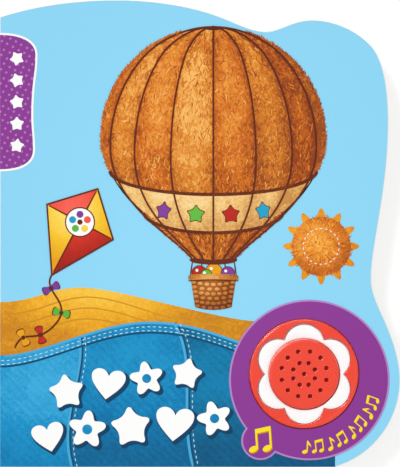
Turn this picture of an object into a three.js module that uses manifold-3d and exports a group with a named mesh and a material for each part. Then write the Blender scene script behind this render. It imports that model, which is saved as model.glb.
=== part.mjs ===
// A toddler's board book with one sound button, closed and lying on its back cover.
// Millimetres. +X runs from the spine to the fore-edge, +Y to the head of the book, +Z out of the front cover.
// The origin is under the middle of the book, on the plane that it lies on.
import * as THREE from "three";
import { mergeVertices } from "three/addons/utils/BufferGeometryUtils.js";
import Module from "manifold-3d";

const wasm = await Module();
wasm.setup();

// Driving sizes of the book
const BOOK_WIDTH = 165;
const BOOK_HEIGHT = 192.6;
const COVER_BOARD = 2;
const INNER_BOARD = 2;
const SPINE_CARD = 1;
const LEAF = 1.9;
const LEAF_COUNT = 5;
const LEAF_GAP = 0.25;
const GLUE_STRIP = 2.5;
const HINGE_GAP = 0.3;
const INK = 0.2;
const INK_GAP = 0.3;

// The round lobe of the boards, with the sound disc printed on it
const PRINT_DISC_RADIUS = 33.1;
const LOBE_MARGIN = 4.3;
const LOBE_HEIGHT = 35.9;
const LOBE_ENTRY_ANGLE = 0.157;
const NECK_HANDLE = 17;

// Driving sizes of the sound module, a drum that stands up through every board
const MODULE_LEFT_OF_LOBE = 2.2;
const MODULE_ABOVE_LOBE = 2.5;
const CASE_RIM = 2;
const CASE_WALL = 1.5;
const CASE_ROOF = 1.8;
const CASE_PROUD = 0.9;
const RIM_ROUND = 0.9;
const FLANGE_WIDTH = 3.3;
const FLANGE = 1.4;
const BASE_PLATE = 1.8;
const BASE_RECESS = 0.3;
const RUNNING_GAP = 0.3;
const COVER_HOLE_GAP = 0.7;
const LEAF_HOLE_GAP = 1;
const LINING_HOLE_GAP = 0.4;

// The white flower and the red button in the middle of it
const PETAL_COUNT = 6;
const PETAL_RADIUS = 8.4;
const PETAL_ORBIT = 12.3;
const FLOWER_RECESS = 0.7;
const FLOWER_FLANGE = 0.9;
const BUTTON_RADIUS = 14.5;
const BUTTON_GAP = 0.4;
const BUTTON_PROUD = 0.9;
const BUTTON_WALL = 1.2;
const BUTTON_TRAVEL = 1.2;
const BUTTON_FLANGE = 1;
const GRILLE_HOLE_RADIUS = 0.9;
const GRILLE_RINGS = [
  { radius: 4.8, count: 8 },
  { radius: 9.5, count: 12 },
];

// Battery bay, cells and door
const CELL_RADIUS = 5.8;
const CELL_HEIGHT = 3.1;
const CELL_COUNT = 3;
const CELL_SPACING = 0.35;
const CONTACT = 0.25;
const DOOR = 1;
const DOOR_RADIUS = 14;
const DOOR_GAP = 0.3;
const DOOR_EAR_RADIUS = 3;
const DOOR_SCREW_INSET = 4.6;
const BAY_GAP = 0.5;
const BAY_WALL = 1.2;
const BAY_ROOF = 1;

// Screws
const SCREW_COUNT = 3;
const SCREW_INSET = 2.6;
const SCREW_RADIUS = 0.9;
const SCREW_HEAD_RADIUS = 1.7;
const SCREW_HEAD = 0.9;
const SCREW_LENGTH = 7;
const DOOR_SCREW_LENGTH = 4.2;
const DOOR_SCREW_PROUD = 0.3;
const DRIVE_SLOT_WIDTH = 0.5;
const DRIVE_SLOT_DEPTH = 0.5;
const BOSS_RADIUS = 2.8;

// Electronics
const PCB = 1;
const PCB_GAP = 0.8;
const POST_RADIUS = 1.8;
const POST_OUTSET = 0.9;
const SPEAKER_RADIUS = 13.5;
const SPEAKER_HEIGHT = 2.4;
const SPEAKER_FLOOR = 0.6;
const SPEAKER_LIP = 1.2;
const MAGNET_RADIUS = 6.5;
const MAGNET = 1.6;
const MAGNET_GAP = 0.9;
const CONE = 0.4;
const GASKET = 0.5;
const SPRING_INSET = 3.6;
const SPRING_RADIUS = 1.8;
const SPRING_WIRE = 0.25;
const SPRING_TURNS = 4.5;
const SPRING_EAR_RADIUS = 2.9;
const SPRING_POST_ABOVE_PCB = 0.7;
const SWITCH_INSET = 4;
const SWITCH_SIDE = 6;
const SWITCH_HEIGHT = 3.4;
const PLUNGER_RADIUS = 1.7;
const PLUNGER_PROUD = 1;
const PLUNGER_TRAVEL = 0.35;
const CHIP_RADIUS = 3.4;
const CHIP_HEIGHT = 1.3;
const CAPACITOR_RADIUS = 1.8;
const CAPACITOR_HEIGHT = 2;
const PART_ORBIT = 10.2;
const LEAD_RADIUS = 0.4;
const LEAD_SPACING = 1.6;

// Heights of the stack, worked out from the sizes above
const liningBase = COVER_BOARD;
const liningTop = liningBase + INNER_BOARD;
const pagesBase = liningTop + HINGE_GAP;
const pagesTop = pagesBase + LEAF_COUNT * LEAF + (LEAF_COUNT - 1) * LEAF_GAP;
const coverBase = pagesTop + HINGE_GAP;
const coverTop = coverBase + COVER_BOARD;

// Heights inside the module
const caseTop = coverTop + CASE_PROUD;
const roofBase = caseTop - CASE_ROOF;
const flowerBase = roofBase - FLOWER_FLANGE;
const buttonTop = caseTop + BUTTON_PROUD;
const buttonFlangeTop = flowerBase - RUNNING_GAP;
const buttonFlangeBase = buttonFlangeTop - BUTTON_FLANGE;
const plateTop = BASE_RECESS + BASE_PLATE;
const doorBase = BASE_RECESS + RUNNING_GAP / 2;
const doorTop = doorBase + DOOR;
const doorScrewBase = doorBase - DOOR_SCREW_PROUD;
const cellBase = doorTop + CONTACT + RUNNING_GAP / 2;
const cellTop = cellBase + CELL_HEIGHT;
const bayCeiling = cellTop + CONTACT;
const pcbBase = bayCeiling + BAY_ROOF;
const pcbTop = pcbBase + PCB;
const magnetBase = pcbTop + MAGNET_GAP;
const speakerBase = magnetBase + MAGNET;
const speakerTop = speakerBase + SPEAKER_HEIGHT;
const switchTop = pcbTop + SWITCH_HEIGHT;
const plungerTop = switchTop + PLUNGER_PROUD;
const pressFoot = plungerTop - PLUNGER_TRAVEL + BUTTON_TRAVEL + CONTACT / 5;

// Radii and places worked out from the sizes above
const lobeRadius = PRINT_DISC_RADIUS + LOBE_MARGIN;
const lobeX = BOOK_WIDTH - lobeRadius;
const moduleX = lobeX - MODULE_LEFT_OF_LOBE;
const moduleY = LOBE_HEIGHT + MODULE_ABOVE_LOBE;
const caseRadius = PETAL_ORBIT + PETAL_RADIUS + CASE_RIM;
const caseInside = caseRadius - CASE_WALL;
const flangeRadius = caseRadius + FLANGE_WIDTH;
const pcbRadius = caseInside - PCB_GAP;
const screwOrbit = caseInside - SCREW_INSET;
const doorScrewOrbit = caseInside - DOOR_SCREW_INSET;
const springOrbit = caseInside - SPRING_INSET;
const switchOrbit = caseInside - SWITCH_INSET;
const postOrbit = SPEAKER_RADIUS + POST_OUTSET;
const cellOrbit = (CELL_RADIUS + CELL_SPACING / 2) / Math.sin(Math.PI / CELL_COUNT);
const bayRadius = cellOrbit + CELL_RADIUS + BAY_GAP;
const basePlateRadius = caseInside - RUNNING_GAP;
const flowerHole = BUTTON_RADIUS + BUTTON_GAP;
const buttonFlangeRadius = screwOrbit - BOSS_RADIUS - RUNNING_GAP;

// Directions round the module, in degrees from +X
const SCREW_ANGLES = [0, 120, 240];
const POST_ANGLES = [60, 180, 300];
const SPRING_ANGLES = [90, 210, 330];
const SWITCH_ANGLE = 270;
const DOOR_SCREW_ANGLE = 270;
const DOOR_TONGUE_ANGLE = 90;
const CHIP_ANGLE = 45;
const CAPACITOR_ANGLE = 315;
const LEAD_ANGLE = 150;
const FIRST_PETAL_ANGLE = 30;
const FIRST_CELL_ANGLE = 30;

// How finely curves are divided
const OUTLINE_STEPS = 7;
const ROUND_STEPS = 20;
const SMALL_STEPS = 6;
const TURN_SEGMENTS = 40;

// The printed board
const paint = (color, roughness, metalness = 0) =>
  new THREE.MeshStandardMaterial({ color, roughness, metalness });
const skyBoard = paint(0x8dd6f4, 0.35);
const greyBoard = paint(0xe6e1d6, 0.9);
const pageBoard = paint(0xf4f1e8, 0.5);
const redPlastic = paint(0xf04a30, 0.25);
const whitePlastic = paint(0xf8f8f6, 0.3);
const greyPlastic = paint(0xd7d9da, 0.5);
const steel = paint(0xb9bcc0, 0.35, 1);
const brass = paint(0xc8a24a, 0.35, 1);
const blackResin = paint(0x1b1b1d, 0.4);
const greenFibre = paint(0x2b6b3f, 0.5);
const blackFoam = paint(0x2c2c2e, 0.95);
const coneFilm = paint(0xcfc9bd, 0.3);
const redSleeve = paint(0xc8281e, 0.5);
const blackSleeve = paint(0x202022, 0.5);
const blueCapacitor = paint(0x22508c, 0.4);

const polar = (radius, degrees) =>
  new THREE.Vector2(radius * Math.cos((degrees * Math.PI) / 180), radius * Math.sin((degrees * Math.PI) / 180));

// A geometry as a solid that can be joined and cut
function solid(geometry) {
  const plain = geometry.clone();
  plain.deleteAttribute("normal");
  plain.deleteAttribute("uv");
  const merged = mergeVertices(plain, 1e-4);
  return new wasm.Manifold(
    new wasm.Mesh({
      numProp: 3,
      vertProperties: new Float32Array(merged.attributes.position.array),
      triVerts: new Uint32Array(merged.index.array),
    }),
  );
}

// A solid as a named mesh with flat faces
function piece(name, body, material) {
  const { vertProperties, triVerts } = body.getMesh();
  const indexed = new THREE.BufferGeometry();
  indexed.setAttribute("position", new THREE.BufferAttribute(vertProperties, 3));
  indexed.setIndex(new THREE.BufferAttribute(triVerts, 1));
  const geometry = indexed.toNonIndexed();
  geometry.computeVertexNormals();
  const mesh = new THREE.Mesh(geometry, material);
  mesh.name = name;
  return mesh;
}

// A flat shape pulled straight up from one height to another
function prism(shape, from, to, steps = ROUND_STEPS) {
  const settings = { depth: to - from, bevelEnabled: false, curveSegments: steps };
  const geometry = new THREE.ExtrudeGeometry(shape, settings);
  return solid(geometry.translate(0, 0, from));
}

function circle(radius, centre = new THREE.Vector2()) {
  return new THREE.Shape().absarc(centre.x, centre.y, radius, 0, 2 * Math.PI, false);
}

function cylinder(radius, from, to, centre, steps = ROUND_STEPS) {
  return prism(circle(radius, centre), from, to, steps);
}

function rectangle(left, bottom, right, top) {
  return new THREE.Shape([
    new THREE.Vector2(left, bottom),
    new THREE.Vector2(right, bottom),
    new THREE.Vector2(right, top),
    new THREE.Vector2(left, top),
  ]);
}

// A closed profile of [radius, height] points turned round the Z axis
function turned(profile, segments = TURN_SEGMENTS) {
  const points = profile.map(([radius, height]) => new THREE.Vector2(radius, height));
  points.push(points[0].clone());
  return solid(new THREE.LatheGeometry(points, segments).rotateX(Math.PI / 2));
}

const join = (solids) => solids.reduce((whole, next) => whole.add(next));
const cut = (body, tools) => tools.reduce((rest, tool) => rest.subtract(tool), body);

// A point given as shares of the book's width and height
const share = (x, y) => [x * BOOK_WIDTH, y * BOOK_HEIGHT];

// The die-cut outline that every board shares: a straight spine and foot, a round lobe at the sound disc,
// a narrow neck above it, a shoulder and a long crown
function boardOutline() {
  const footAngle = -Math.asin(Math.min(1, LOBE_HEIGHT / lobeRadius));
  const entry = new THREE.Vector2(Math.cos(LOBE_ENTRY_ANGLE), Math.sin(LOBE_ENTRY_ANGLE));
  const lobeEdge = new THREE.Vector2(lobeX, LOBE_HEIGHT).addScaledVector(entry, lobeRadius);
  const outline = new THREE.Shape();
  outline.moveTo(0, 0);
  outline.lineTo(lobeX + lobeRadius * Math.cos(footAngle), 0);
  outline.absarc(lobeX, LOBE_HEIGHT, lobeRadius, footAngle, LOBE_ENTRY_ANGLE, false);
  outline.bezierCurveTo(
    lobeEdge.x - NECK_HANDLE * entry.y,
    lobeEdge.y + NECK_HANDLE * entry.x,
    ...share(0.928, 0.351),
    ...share(0.928, 0.403),
  );
  outline.bezierCurveTo(...share(0.928, 0.475), ...share(0.971, 0.593), ...share(0.971, 0.739));
  outline.bezierCurveTo(...share(0.971, 0.807), ...share(0.96, 0.869), ...share(0.93, 0.9));
  outline.bezierCurveTo(...share(0.895, 0.933), ...share(0.84, 0.957), ...share(0.78, 0.957));
  outline.bezierCurveTo(...share(0.73, 0.957), ...share(0.7, 0.9325), ...share(0.665, 0.9325));
  outline.bezierCurveTo(...share(0.625, 0.9325), ...share(0.59, 0.952), ...share(0.54, 0.967));
  outline.bezierCurveTo(...share(0.465, 0.99), ...share(0.375, 1), ...share(0.2875, 1));
  outline.bezierCurveTo(...share(0.1875, 1), ...share(0.0875, 0.988), ...share(0, 0.9636));
  outline.closePath();
  return outline;
}

const moduleCentre = new THREE.Vector2(moduleX, moduleY);
const board = (from, to) => prism(boardOutline(), from, to, OUTLINE_STEPS);
const moduleHole = (radius, from, to) => cylinder(radius, from, to, moduleCentre);

function frontCover() {
  const hole = moduleHole(caseRadius + COVER_HOLE_GAP, coverBase - 1, coverTop + 1);
  return piece("front_cover", board(coverBase, coverTop).subtract(hole), skyBoard);
}

// Five stiff leaves, glued together along the spine and a hair apart at the fore-edge
function pageBlock() {
  const leaves = Array.from({ length: LEAF_COUNT }, (_, leaf) => {
    const base = pagesBase + leaf * (LEAF + LEAF_GAP);
    return board(base, base + LEAF);
  });
  const spineHeight = BOOK_HEIGHT * 0.9636;
  const glue = prism(rectangle(0, 0, SPINE_CARD + GLUE_STRIP, spineHeight), pagesBase, pagesTop);
  const spineRoom = prism(rectangle(-1, -1, SPINE_CARD, BOOK_HEIGHT + 1), pagesBase - 1, pagesTop + 1);
  const hole = moduleHole(caseRadius + LEAF_HOLE_GAP, pagesBase - 1, pagesTop + 1);
  return piece("page_block", cut(join([...leaves, glue]), [spineRoom, hole]), pageBoard);
}

function spine() {
  const strip = prism(rectangle(0, 0, SPINE_CARD, BOOK_HEIGHT * 0.9636), pagesBase, pagesTop);
  return piece("spine", strip, skyBoard);
}

function backCover() {
  const hole = moduleHole(basePlateRadius + RUNNING_GAP, -1, COVER_BOARD + 1);
  return piece("back_cover", board(0, COVER_BOARD).subtract(hole), skyBoard);
}

// The inner board is bored for the drum and pocketed underneath for its flange
function backLining() {
  const pocket = moduleHole(flangeRadius + LINING_HOLE_GAP, liningBase - 1, liningBase + FLANGE + RUNNING_GAP);
  const hole = moduleHole(caseRadius + LINING_HOLE_GAP, liningBase - 1, liningTop + 1);
  return piece("back_lining", cut(board(liningBase, liningTop), [pocket, hole]), greyBoard);
}

// Shapes of the printed cover, drawn in millimetres from the foot of the spine
const PRINT = {
  bulge: { x: lobeX - 20.2, y: LOBE_HEIGHT - 25.1, radius: 7.9 },
  tab: { foot: 122.8, head: 178.2, width: 14.6, corner: 8 },
  balloon: { x: 88, y: 135.5, radius: 46, mouthY: 86, mouthHalf: 9 },
  band: { y: 118, sag: 7, depth: 16 },
  basket: { y: 66, top: 79, topHalf: 9.5, footHalf: 7.5 },
  kite: { x: 33, y: 101, halfWidth: 15, up: 15, down: 24, tilt: -28 },
};

const ink = (shape) => prism(shape, coverTop, coverTop + INK, OUTLINE_STEPS);

// The purple disc with its small round bulge, grown by a margin where it cuts what is printed round it
function discShape(margin = 0) {
  const { x, y, radius } = PRINT.bulge;
  const round = circle(PRINT_DISC_RADIUS + margin, new THREE.Vector2(lobeX, LOBE_HEIGHT));
  const disc = prism(round, coverTop, coverTop + INK);
  return disc.add(ink(circle(radius + margin, new THREE.Vector2(x, y))));
}

function printedDisc() {
  const hole = moduleHole(caseRadius + COVER_HOLE_GAP, coverTop - 1, coverTop + 1);
  return piece("print_disc", discShape().subtract(hole), paint(0x8f3f97, 0.35));
}

function printedTab() {
  const { foot, head, width, corner } = PRINT.tab;
  const tab = new THREE.Shape();
  tab.moveTo(0, foot);
  tab.bezierCurveTo(width - corner / 2, foot, width - 1, foot + corner / 2, width - 1, foot + corner);
  tab.bezierCurveTo(width - 1, foot + 2 * corner, width - 2, foot + 2 * corner, width - 1.6, (foot + head) / 2);
  tab.bezierCurveTo(width - 1, head - 2 * corner, width, head - 2 * corner, width, head - corner);
  tab.bezierCurveTo(width, head - corner / 2, width - corner / 2, head, 0, head);
  tab.closePath();
  return piece("print_tab", ink(tab), paint(0x8e408f, 0.35));
}

function hillShape(left, crest, right) {
  const hill = new THREE.Shape();
  hill.moveTo(-1, -1);
  hill.lineTo(PRINT.bulge.x, -1);
  hill.lineTo(PRINT.bulge.x, right.y);
  hill.bezierCurveTo(right.x, right.y, crest.x + crest.spread, crest.y, crest.x, crest.y);
  hill.bezierCurveTo(crest.x - crest.spread, crest.y, left.x, left.y, -1, left.y);
  hill.closePath();
  return ink(hill);
}

const frontHillShape = () => hillShape({ x: 18, y: 46 }, { x: 62, y: 60, spread: 22 }, { x: 98, y: 50 });
const farHillShape = () => hillShape({ x: 14, y: 68 }, { x: 34, y: 74, spread: 14 }, { x: 92, y: 60 });
const grown = (body, margin) => {
  const { min, max } = body.boundingBox();
  const middle = [(min[0] + max[0]) / 2, (min[1] + max[1]) / 2, 0];
  const stretch = [1 + (2 * margin) / (max[0] - min[0]), 1 + (2 * margin) / (max[1] - min[1]), 1];
  return body
    .translate(middle.map((value) => -value))
    .scale(stretch)
    .translate(middle);
};

function envelopeShape() {
  const { x, y, radius, mouthY, mouthHalf } = PRINT.balloon;
  const envelope = new THREE.Shape();
  envelope.moveTo(x - mouthHalf, mouthY);
  envelope.lineTo(x + mouthHalf, mouthY);
  envelope.bezierCurveTo(x + mouthHalf + 7, mouthY + 12, x + radius, y - 24, x + radius, y);
  envelope.absarc(x, y, radius, 0, Math.PI, false);
  envelope.bezierCurveTo(x - radius, y - 24, x - mouthHalf - 7, mouthY + 12, x - mouthHalf, mouthY);
  return ink(envelope);
}

// The part of the balloon between two sagging lines
function envelopeZone(low, high) {
  const { x, radius } = PRINT.balloon;
  const { sag } = PRINT.band;
  const zone = new THREE.Shape();
  zone.moveTo(x - radius - 1, low + sag);
  zone.quadraticCurveTo(x, low - sag, x + radius + 1, low + sag);
  zone.lineTo(x + radius + 1, high + sag);
  zone.quadraticCurveTo(x, high - sag, x - radius - 1, high + sag);
  zone.closePath();
  return envelopeShape().intersect(ink(zone));
}

function basketShape() {
  const { x } = PRINT.balloon;
  const { y, top, topHalf, footHalf } = PRINT.basket;
  const basket = new THREE.Shape();
  basket.moveTo(x - footHalf, y);
  basket.quadraticCurveTo(x, y - 2, x + footHalf, y);
  basket.lineTo(x + topHalf, top);
  basket.lineTo(x - topHalf, top);
  basket.closePath();
  return ink(basket);
}

function kiteShape() {
  const { x, y, halfWidth, up, down, tilt } = PRINT.kite;
  const kite = new THREE.Shape([
    new THREE.Vector2(0, up),
    new THREE.Vector2(-halfWidth, 0),
    new THREE.Vector2(0, -down),
    new THREE.Vector2(halfWidth, 0),
  ]);
  return ink(kite).rotate([0, 0, tilt]).translate([x, y, 0]);
}

// Large fields of ink on the front board, each as one thin flat solid
function printedCover() {
  const { y, depth } = PRINT.band;
  const { mouthY, y: balloonY, radius } = PRINT.balloon;
  const disc = discShape(INK_GAP);
  const sheet = ink(boardOutline());
  const basket = basketShape();
  const frontHill = frontHillShape().intersect(sheet).subtract(disc);
  const frontRoom = grown(frontHillShape(), INK_GAP).add(disc);
  const farRoom = [frontRoom, grown(basket, INK_GAP), grown(kiteShape(), INK_GAP)];
  const farHill = cut(farHillShape().intersect(sheet), farRoom);
  return [
    printedDisc(),
    printedTab(),
    piece("print_near_hill", frontHill, paint(0x0572a6, 0.35)),
    piece("print_far_hill", farHill, paint(0xf3b61f, 0.35)),
    piece(
      "print_balloon_crown",
      envelopeZone(y + depth / 2 + INK_GAP, balloonY + radius + depth),
      paint(0xe0771e, 0.35),
    ),
    piece("print_balloon_band", envelopeZone(y - depth / 2, y + depth / 2), paint(0xfcd386, 0.35)),
    piece("print_balloon_skirt", envelopeZone(mouthY - depth, y - depth / 2 - INK_GAP), paint(0xac5620, 0.35)),
    piece("print_basket", cut(basket, [frontRoom]), paint(0x8a4a1c, 0.35)),
    piece("print_kite", cut(kiteShape(), [frontRoom]), paint(0xf04531, 0.35)),
  ];
}

// The outline of the flower, grown by a clearance
function flowerPrism(margin, from, to) {
  const petals = Array.from({ length: PETAL_COUNT }, (_, petal) =>
    cylinder(
      PETAL_RADIUS + margin,
      from,
      to,
      polar(PETAL_ORBIT, FIRST_PETAL_ANGLE + (petal * 360) / PETAL_COUNT),
      ROUND_STEPS / 2,
    ),
  );
  return join([cylinder(BUTTON_RADIUS + margin, from, to), ...petals]);
}

const bosses = (angles, orbit, radius, from, to) =>
  angles.map((angle) => cylinder(radius, from, to, polar(orbit, angle), SMALL_STEPS));

// The red drum: flange at the foot, rounded rim, and a roof opened in the outline of the flower
function caseShell() {
  const inside = caseInside;
  const shell = turned([
    [caseRadius, liningBase],
    [flangeRadius, liningBase],
    [flangeRadius, liningBase + FLANGE],
    [caseRadius, liningBase + FLANGE],
    [caseRadius, caseTop - RIM_ROUND],
    [caseRadius - RIM_ROUND * 0.3, caseTop - RIM_ROUND * 0.3],
    [caseRadius - RIM_ROUND, caseTop],
    [BUTTON_RADIUS, caseTop],
    [BUTTON_RADIUS, roofBase],
    [inside, roofBase],
    [inside, liningBase],
  ]);
  const pillars = join(bosses(SCREW_ANGLES, screwOrbit, BOSS_RADIUS, plateTop + RUNNING_GAP, roofBase)).intersect(
    cylinder(inside + CASE_WALL / 2, plateTop, roofBase),
  );
  const bores = bosses(SCREW_ANGLES, screwOrbit, SCREW_RADIUS + 0.05, plateTop, plateTop + SCREW_LENGTH);
  const opening = flowerPrism(RUNNING_GAP, roofBase - 1, caseTop + 1);
  return piece("module_case", cut(shell.add(pillars), [opening, ...bores]), redPlastic);
}

function flowerInlay() {
  const flange = cut(
    cylinder(basePlateRadius, flowerBase, roofBase),
    bosses(SCREW_ANGLES, screwOrbit, BOSS_RADIUS + RUNNING_GAP, flowerBase - 1, roofBase + 1),
  );
  const flower = flowerPrism(0, roofBase - FLOWER_FLANGE / 2, caseTop - FLOWER_RECESS);
  const hole = cylinder(flowerHole, flowerBase - 1, caseTop + 1);
  return piece("flower_inlay", flange.add(flower).subtract(hole), whitePlastic);
}

// The red button: a grille on top, a skirt that slides in the flower and a flange with three spring ears
function speakerButton() {
  const inner = BUTTON_RADIUS - BUTTON_WALL;
  const cap = turned([
    [0, buttonTop - BUTTON_WALL],
    [inner, buttonTop - BUTTON_WALL],
    [inner, buttonFlangeBase],
    [buttonFlangeRadius, buttonFlangeBase],
    [buttonFlangeRadius, buttonFlangeTop],
    [BUTTON_RADIUS, buttonFlangeTop],
    [BUTTON_RADIUS, buttonTop - BUTTON_PROUD],
    [BUTTON_RADIUS - BUTTON_PROUD * 0.3, buttonTop - BUTTON_PROUD * 0.3],
    [BUTTON_RADIUS - BUTTON_PROUD, buttonTop],
    [0, buttonTop],
  ]);
  const ears = bosses(SPRING_ANGLES, springOrbit, SPRING_EAR_RADIUS, buttonFlangeBase, buttonFlangeTop);
  const overSwitch = polar(switchOrbit, SWITCH_ANGLE);
  const tongue = cylinder(PLUNGER_RADIUS + 0.9, pressFoot, buttonFlangeTop, overSwitch, SMALL_STEPS);
  const skirtInside = cylinder(inner, buttonFlangeBase - BUTTON_TRAVEL - 1, buttonTop - BUTTON_WALL);
  const ringHoles = GRILLE_RINGS.flatMap(({ radius, count }) =>
    Array.from({ length: count }, (_, hole) => polar(radius, ((hole + 0.5) * 360) / count)),
  );
  const holes = [new THREE.Vector2(), ...ringHoles].map((centre) =>
    cylinder(GRILLE_HOLE_RADIUS, buttonTop - BUTTON_WALL - 1, buttonTop + 1, centre, SMALL_STEPS),
  );
  const whole = cap.add(cut(join([...ears, tongue]), [skirtInside]));
  return piece("speaker_button", cut(whole, holes), redPlastic);
}

function screw(name, centre, headBase, length) {
  const head = cylinder(SCREW_HEAD_RADIUS, headBase, headBase + SCREW_HEAD, centre, SMALL_STEPS * 2);
  const shank = cylinder(SCREW_RADIUS, headBase, headBase + length, centre, SMALL_STEPS);
  const reach = SCREW_HEAD_RADIUS * 0.6;
  const half = DRIVE_SLOT_WIDTH / 2;
  const slots = [rectangle(-reach, -half, reach, half), rectangle(-half, -reach, half, reach)].map((slot) =>
    prism(slot, headBase - 1, headBase + DRIVE_SLOT_DEPTH).translate([centre.x, centre.y, 0]),
  );
  return piece(name, cut(head.add(shank), slots), steel);
}

// The grey base closes the drum from below and holds the battery bay, the speaker posts and the spring posts
function caseBase() {
  const bayOutside = bayRadius + BAY_WALL;
  const doorScrew = polar(doorScrewOrbit, DOOR_SCREW_ANGLE);
  const boss = cylinder(SCREW_HEAD_RADIUS + 0.7, plateTop - 0.1, pcbBase - RUNNING_GAP, doorScrew, SMALL_STEPS);
  const whole = join([
    cylinder(basePlateRadius, BASE_RECESS, plateTop),
    cylinder(bayOutside, plateTop - 0.1, pcbBase),
    boss,
    ...bosses(POST_ANGLES, postOrbit, POST_RADIUS, plateTop - 0.1, speakerBase),
    ...bosses(
      SPRING_ANGLES,
      springOrbit,
      SPRING_RADIUS + SPRING_WIRE,
      plateTop - 0.1,
      pcbTop + SPRING_POST_ABOVE_PCB,
    ),
  ]);
  const doorRoom = doorShape(DOOR_GAP);
  return piece(
    "module_base",
    cut(whole, [
      cylinder(bayRadius, BASE_RECESS - 1, bayCeiling),
      doorRoom(BASE_RECESS - 1, doorTop + RUNNING_GAP / 2),
      ...bosses(SCREW_ANGLES, screwOrbit, SCREW_RADIUS + 0.15, BASE_RECESS - 1, plateTop + 1),
      ...bosses(
        SCREW_ANGLES,
        screwOrbit,
        SCREW_HEAD_RADIUS + 0.2,
        BASE_RECESS - 1,
        BASE_RECESS + SCREW_HEAD + 0.15,
      ),
      cylinder(SCREW_RADIUS + 0.05, BASE_RECESS - 1, doorScrewBase + DOOR_SCREW_LENGTH, doorScrew, SMALL_STEPS),
    ]),
    greyPlastic,
  );
}

// The outline of the battery door: a disc, an ear for its screw and a tongue opposite
function doorShape(margin) {
  const ear = polar(doorScrewOrbit, DOOR_SCREW_ANGLE);
  const tongue = polar(DOOR_RADIUS, DOOR_TONGUE_ANGLE);
  return (from, to) =>
    join([
      cylinder(DOOR_RADIUS + margin, from, to),
      cylinder(DOOR_EAR_RADIUS + margin, from, to, ear),
      cylinder(DOOR_EAR_RADIUS * 0.6 + margin, from, to, tongue),
    ]);
}

function batteryDoor() {
  const centre = polar(doorScrewOrbit, DOOR_SCREW_ANGLE);
  const plate = doorShape(0)(doorBase, doorTop);
  const sink = cylinder(SCREW_HEAD_RADIUS + 0.2, doorBase - 1, doorScrewBase + SCREW_HEAD, centre, SMALL_STEPS * 2);
  const hole = cylinder(SCREW_RADIUS + 0.15, doorBase - 1, doorTop + 1, centre, SMALL_STEPS);
  return piece("battery_door", cut(plate, [sink, hole]), greyPlastic);
}

const cellCentre = (cell) => polar(cellOrbit, FIRST_CELL_ANGLE + (cell * 360) / CELL_COUNT);

function buttonCell(cell) {
  const centre = cellCentre(cell);
  const can = cylinder(CELL_RADIUS, cellBase + 0.4, cellTop, centre);
  const lid = cylinder(CELL_RADIUS - 0.7, cellBase, cellBase + 0.5, centre);
  return piece(`button_cell_${cell + 1}`, can.add(lid), steel);
}

// A flat strip that bridges two cells, or ends over one
function contactStrip(name, from, to, base) {
  const along = to.clone().sub(from);
  const strip = prism(rectangle(-2, -1.6, along.length() + 2, 1.6), base, base + CONTACT);
  const turn = (Math.atan2(along.y, along.x) * 180) / Math.PI;
  return piece(name, strip.rotate([0, 0, turn]).translate([from.x, from.y, 0]), brass);
}

function circuitBoard() {
  const disc = cylinder(pcbRadius, pcbBase, pcbTop);
  const clear = [
    ...bosses(SCREW_ANGLES, screwOrbit, BOSS_RADIUS + RUNNING_GAP, pcbBase - 1, pcbTop + 1),
    ...bosses(POST_ANGLES, postOrbit, POST_RADIUS + RUNNING_GAP, pcbBase - 1, pcbTop + 1),
    ...bosses(SPRING_ANGLES, springOrbit, SPRING_RADIUS + SPRING_WIRE + RUNNING_GAP, pcbBase - 1, pcbTop + 1),
  ];
  return piece("circuit_board", cut(disc, clear), greenFibre);
}

function soundChip() {
  const centre = polar(PART_ORBIT, CHIP_ANGLE);
  const dome = turned(
    [
      [0, pcbTop],
      [CHIP_RADIUS, pcbTop],
      [CHIP_RADIUS * 0.8, pcbTop + CHIP_HEIGHT * 0.7],
      [CHIP_RADIUS * 0.4, pcbTop + CHIP_HEIGHT],
      [0, pcbTop + CHIP_HEIGHT],
    ],
    16,
  );
  return piece("sound_chip", dome.translate([centre.x, centre.y, 0]), blackResin);
}

function capacitor() {
  const centre = polar(PART_ORBIT, CAPACITOR_ANGLE);
  const can = cylinder(CAPACITOR_RADIUS, pcbTop, pcbTop + CAPACITOR_HEIGHT, centre, SMALL_STEPS);
  return piece("capacitor", can, blueCapacitor);
}

function switchBody() {
  const centre = polar(switchOrbit, SWITCH_ANGLE);
  const half = SWITCH_SIDE / 2;
  const square = rectangle(centre.x - half, centre.y - half, centre.x + half, centre.y + half);
  const box = prism(square, pcbTop, switchTop);
  const well = cylinder(PLUNGER_RADIUS + RUNNING_GAP / 2, plungerTop - 2.4, switchTop + 1, centre, SMALL_STEPS);
  return piece("switch_body", box.subtract(well), blackResin);
}

function switchPlunger() {
  const centre = polar(switchOrbit, SWITCH_ANGLE);
  const pin = cylinder(PLUNGER_RADIUS, plungerTop - 1.9, plungerTop, centre, SMALL_STEPS);
  return piece("switch_plunger", pin, whitePlastic);
}

function speakerFrame() {
  const inner = SPEAKER_RADIUS - SPEAKER_LIP;
  const basket = turned([
    [0, speakerBase],
    [SPEAKER_RADIUS, speakerBase],
    [SPEAKER_RADIUS, speakerTop],
    [inner, speakerTop],
    [inner, speakerTop - CONE],
    [inner - 0.8, speakerTop - CONE],
    [MAGNET_RADIUS, speakerBase + SPEAKER_FLOOR],
    [0, speakerBase + SPEAKER_FLOOR],
  ]);
  return piece("speaker_frame", basket, steel);
}

function speakerCone() {
  const edge = SPEAKER_RADIUS - SPEAKER_LIP;
  const film = turned([
    [0, speakerTop - 0.2],
    [3.4, speakerTop - 1],
    [edge - 2.4, speakerTop - CONE],
    [edge, speakerTop - CONE],
    [edge, speakerTop],
    [edge - 2.6, speakerTop],
    [3.4, speakerTop - 0.6],
    [0, speakerTop + 0.2],
  ]);
  return piece("speaker_cone", film, coneFilm);
}

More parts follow.
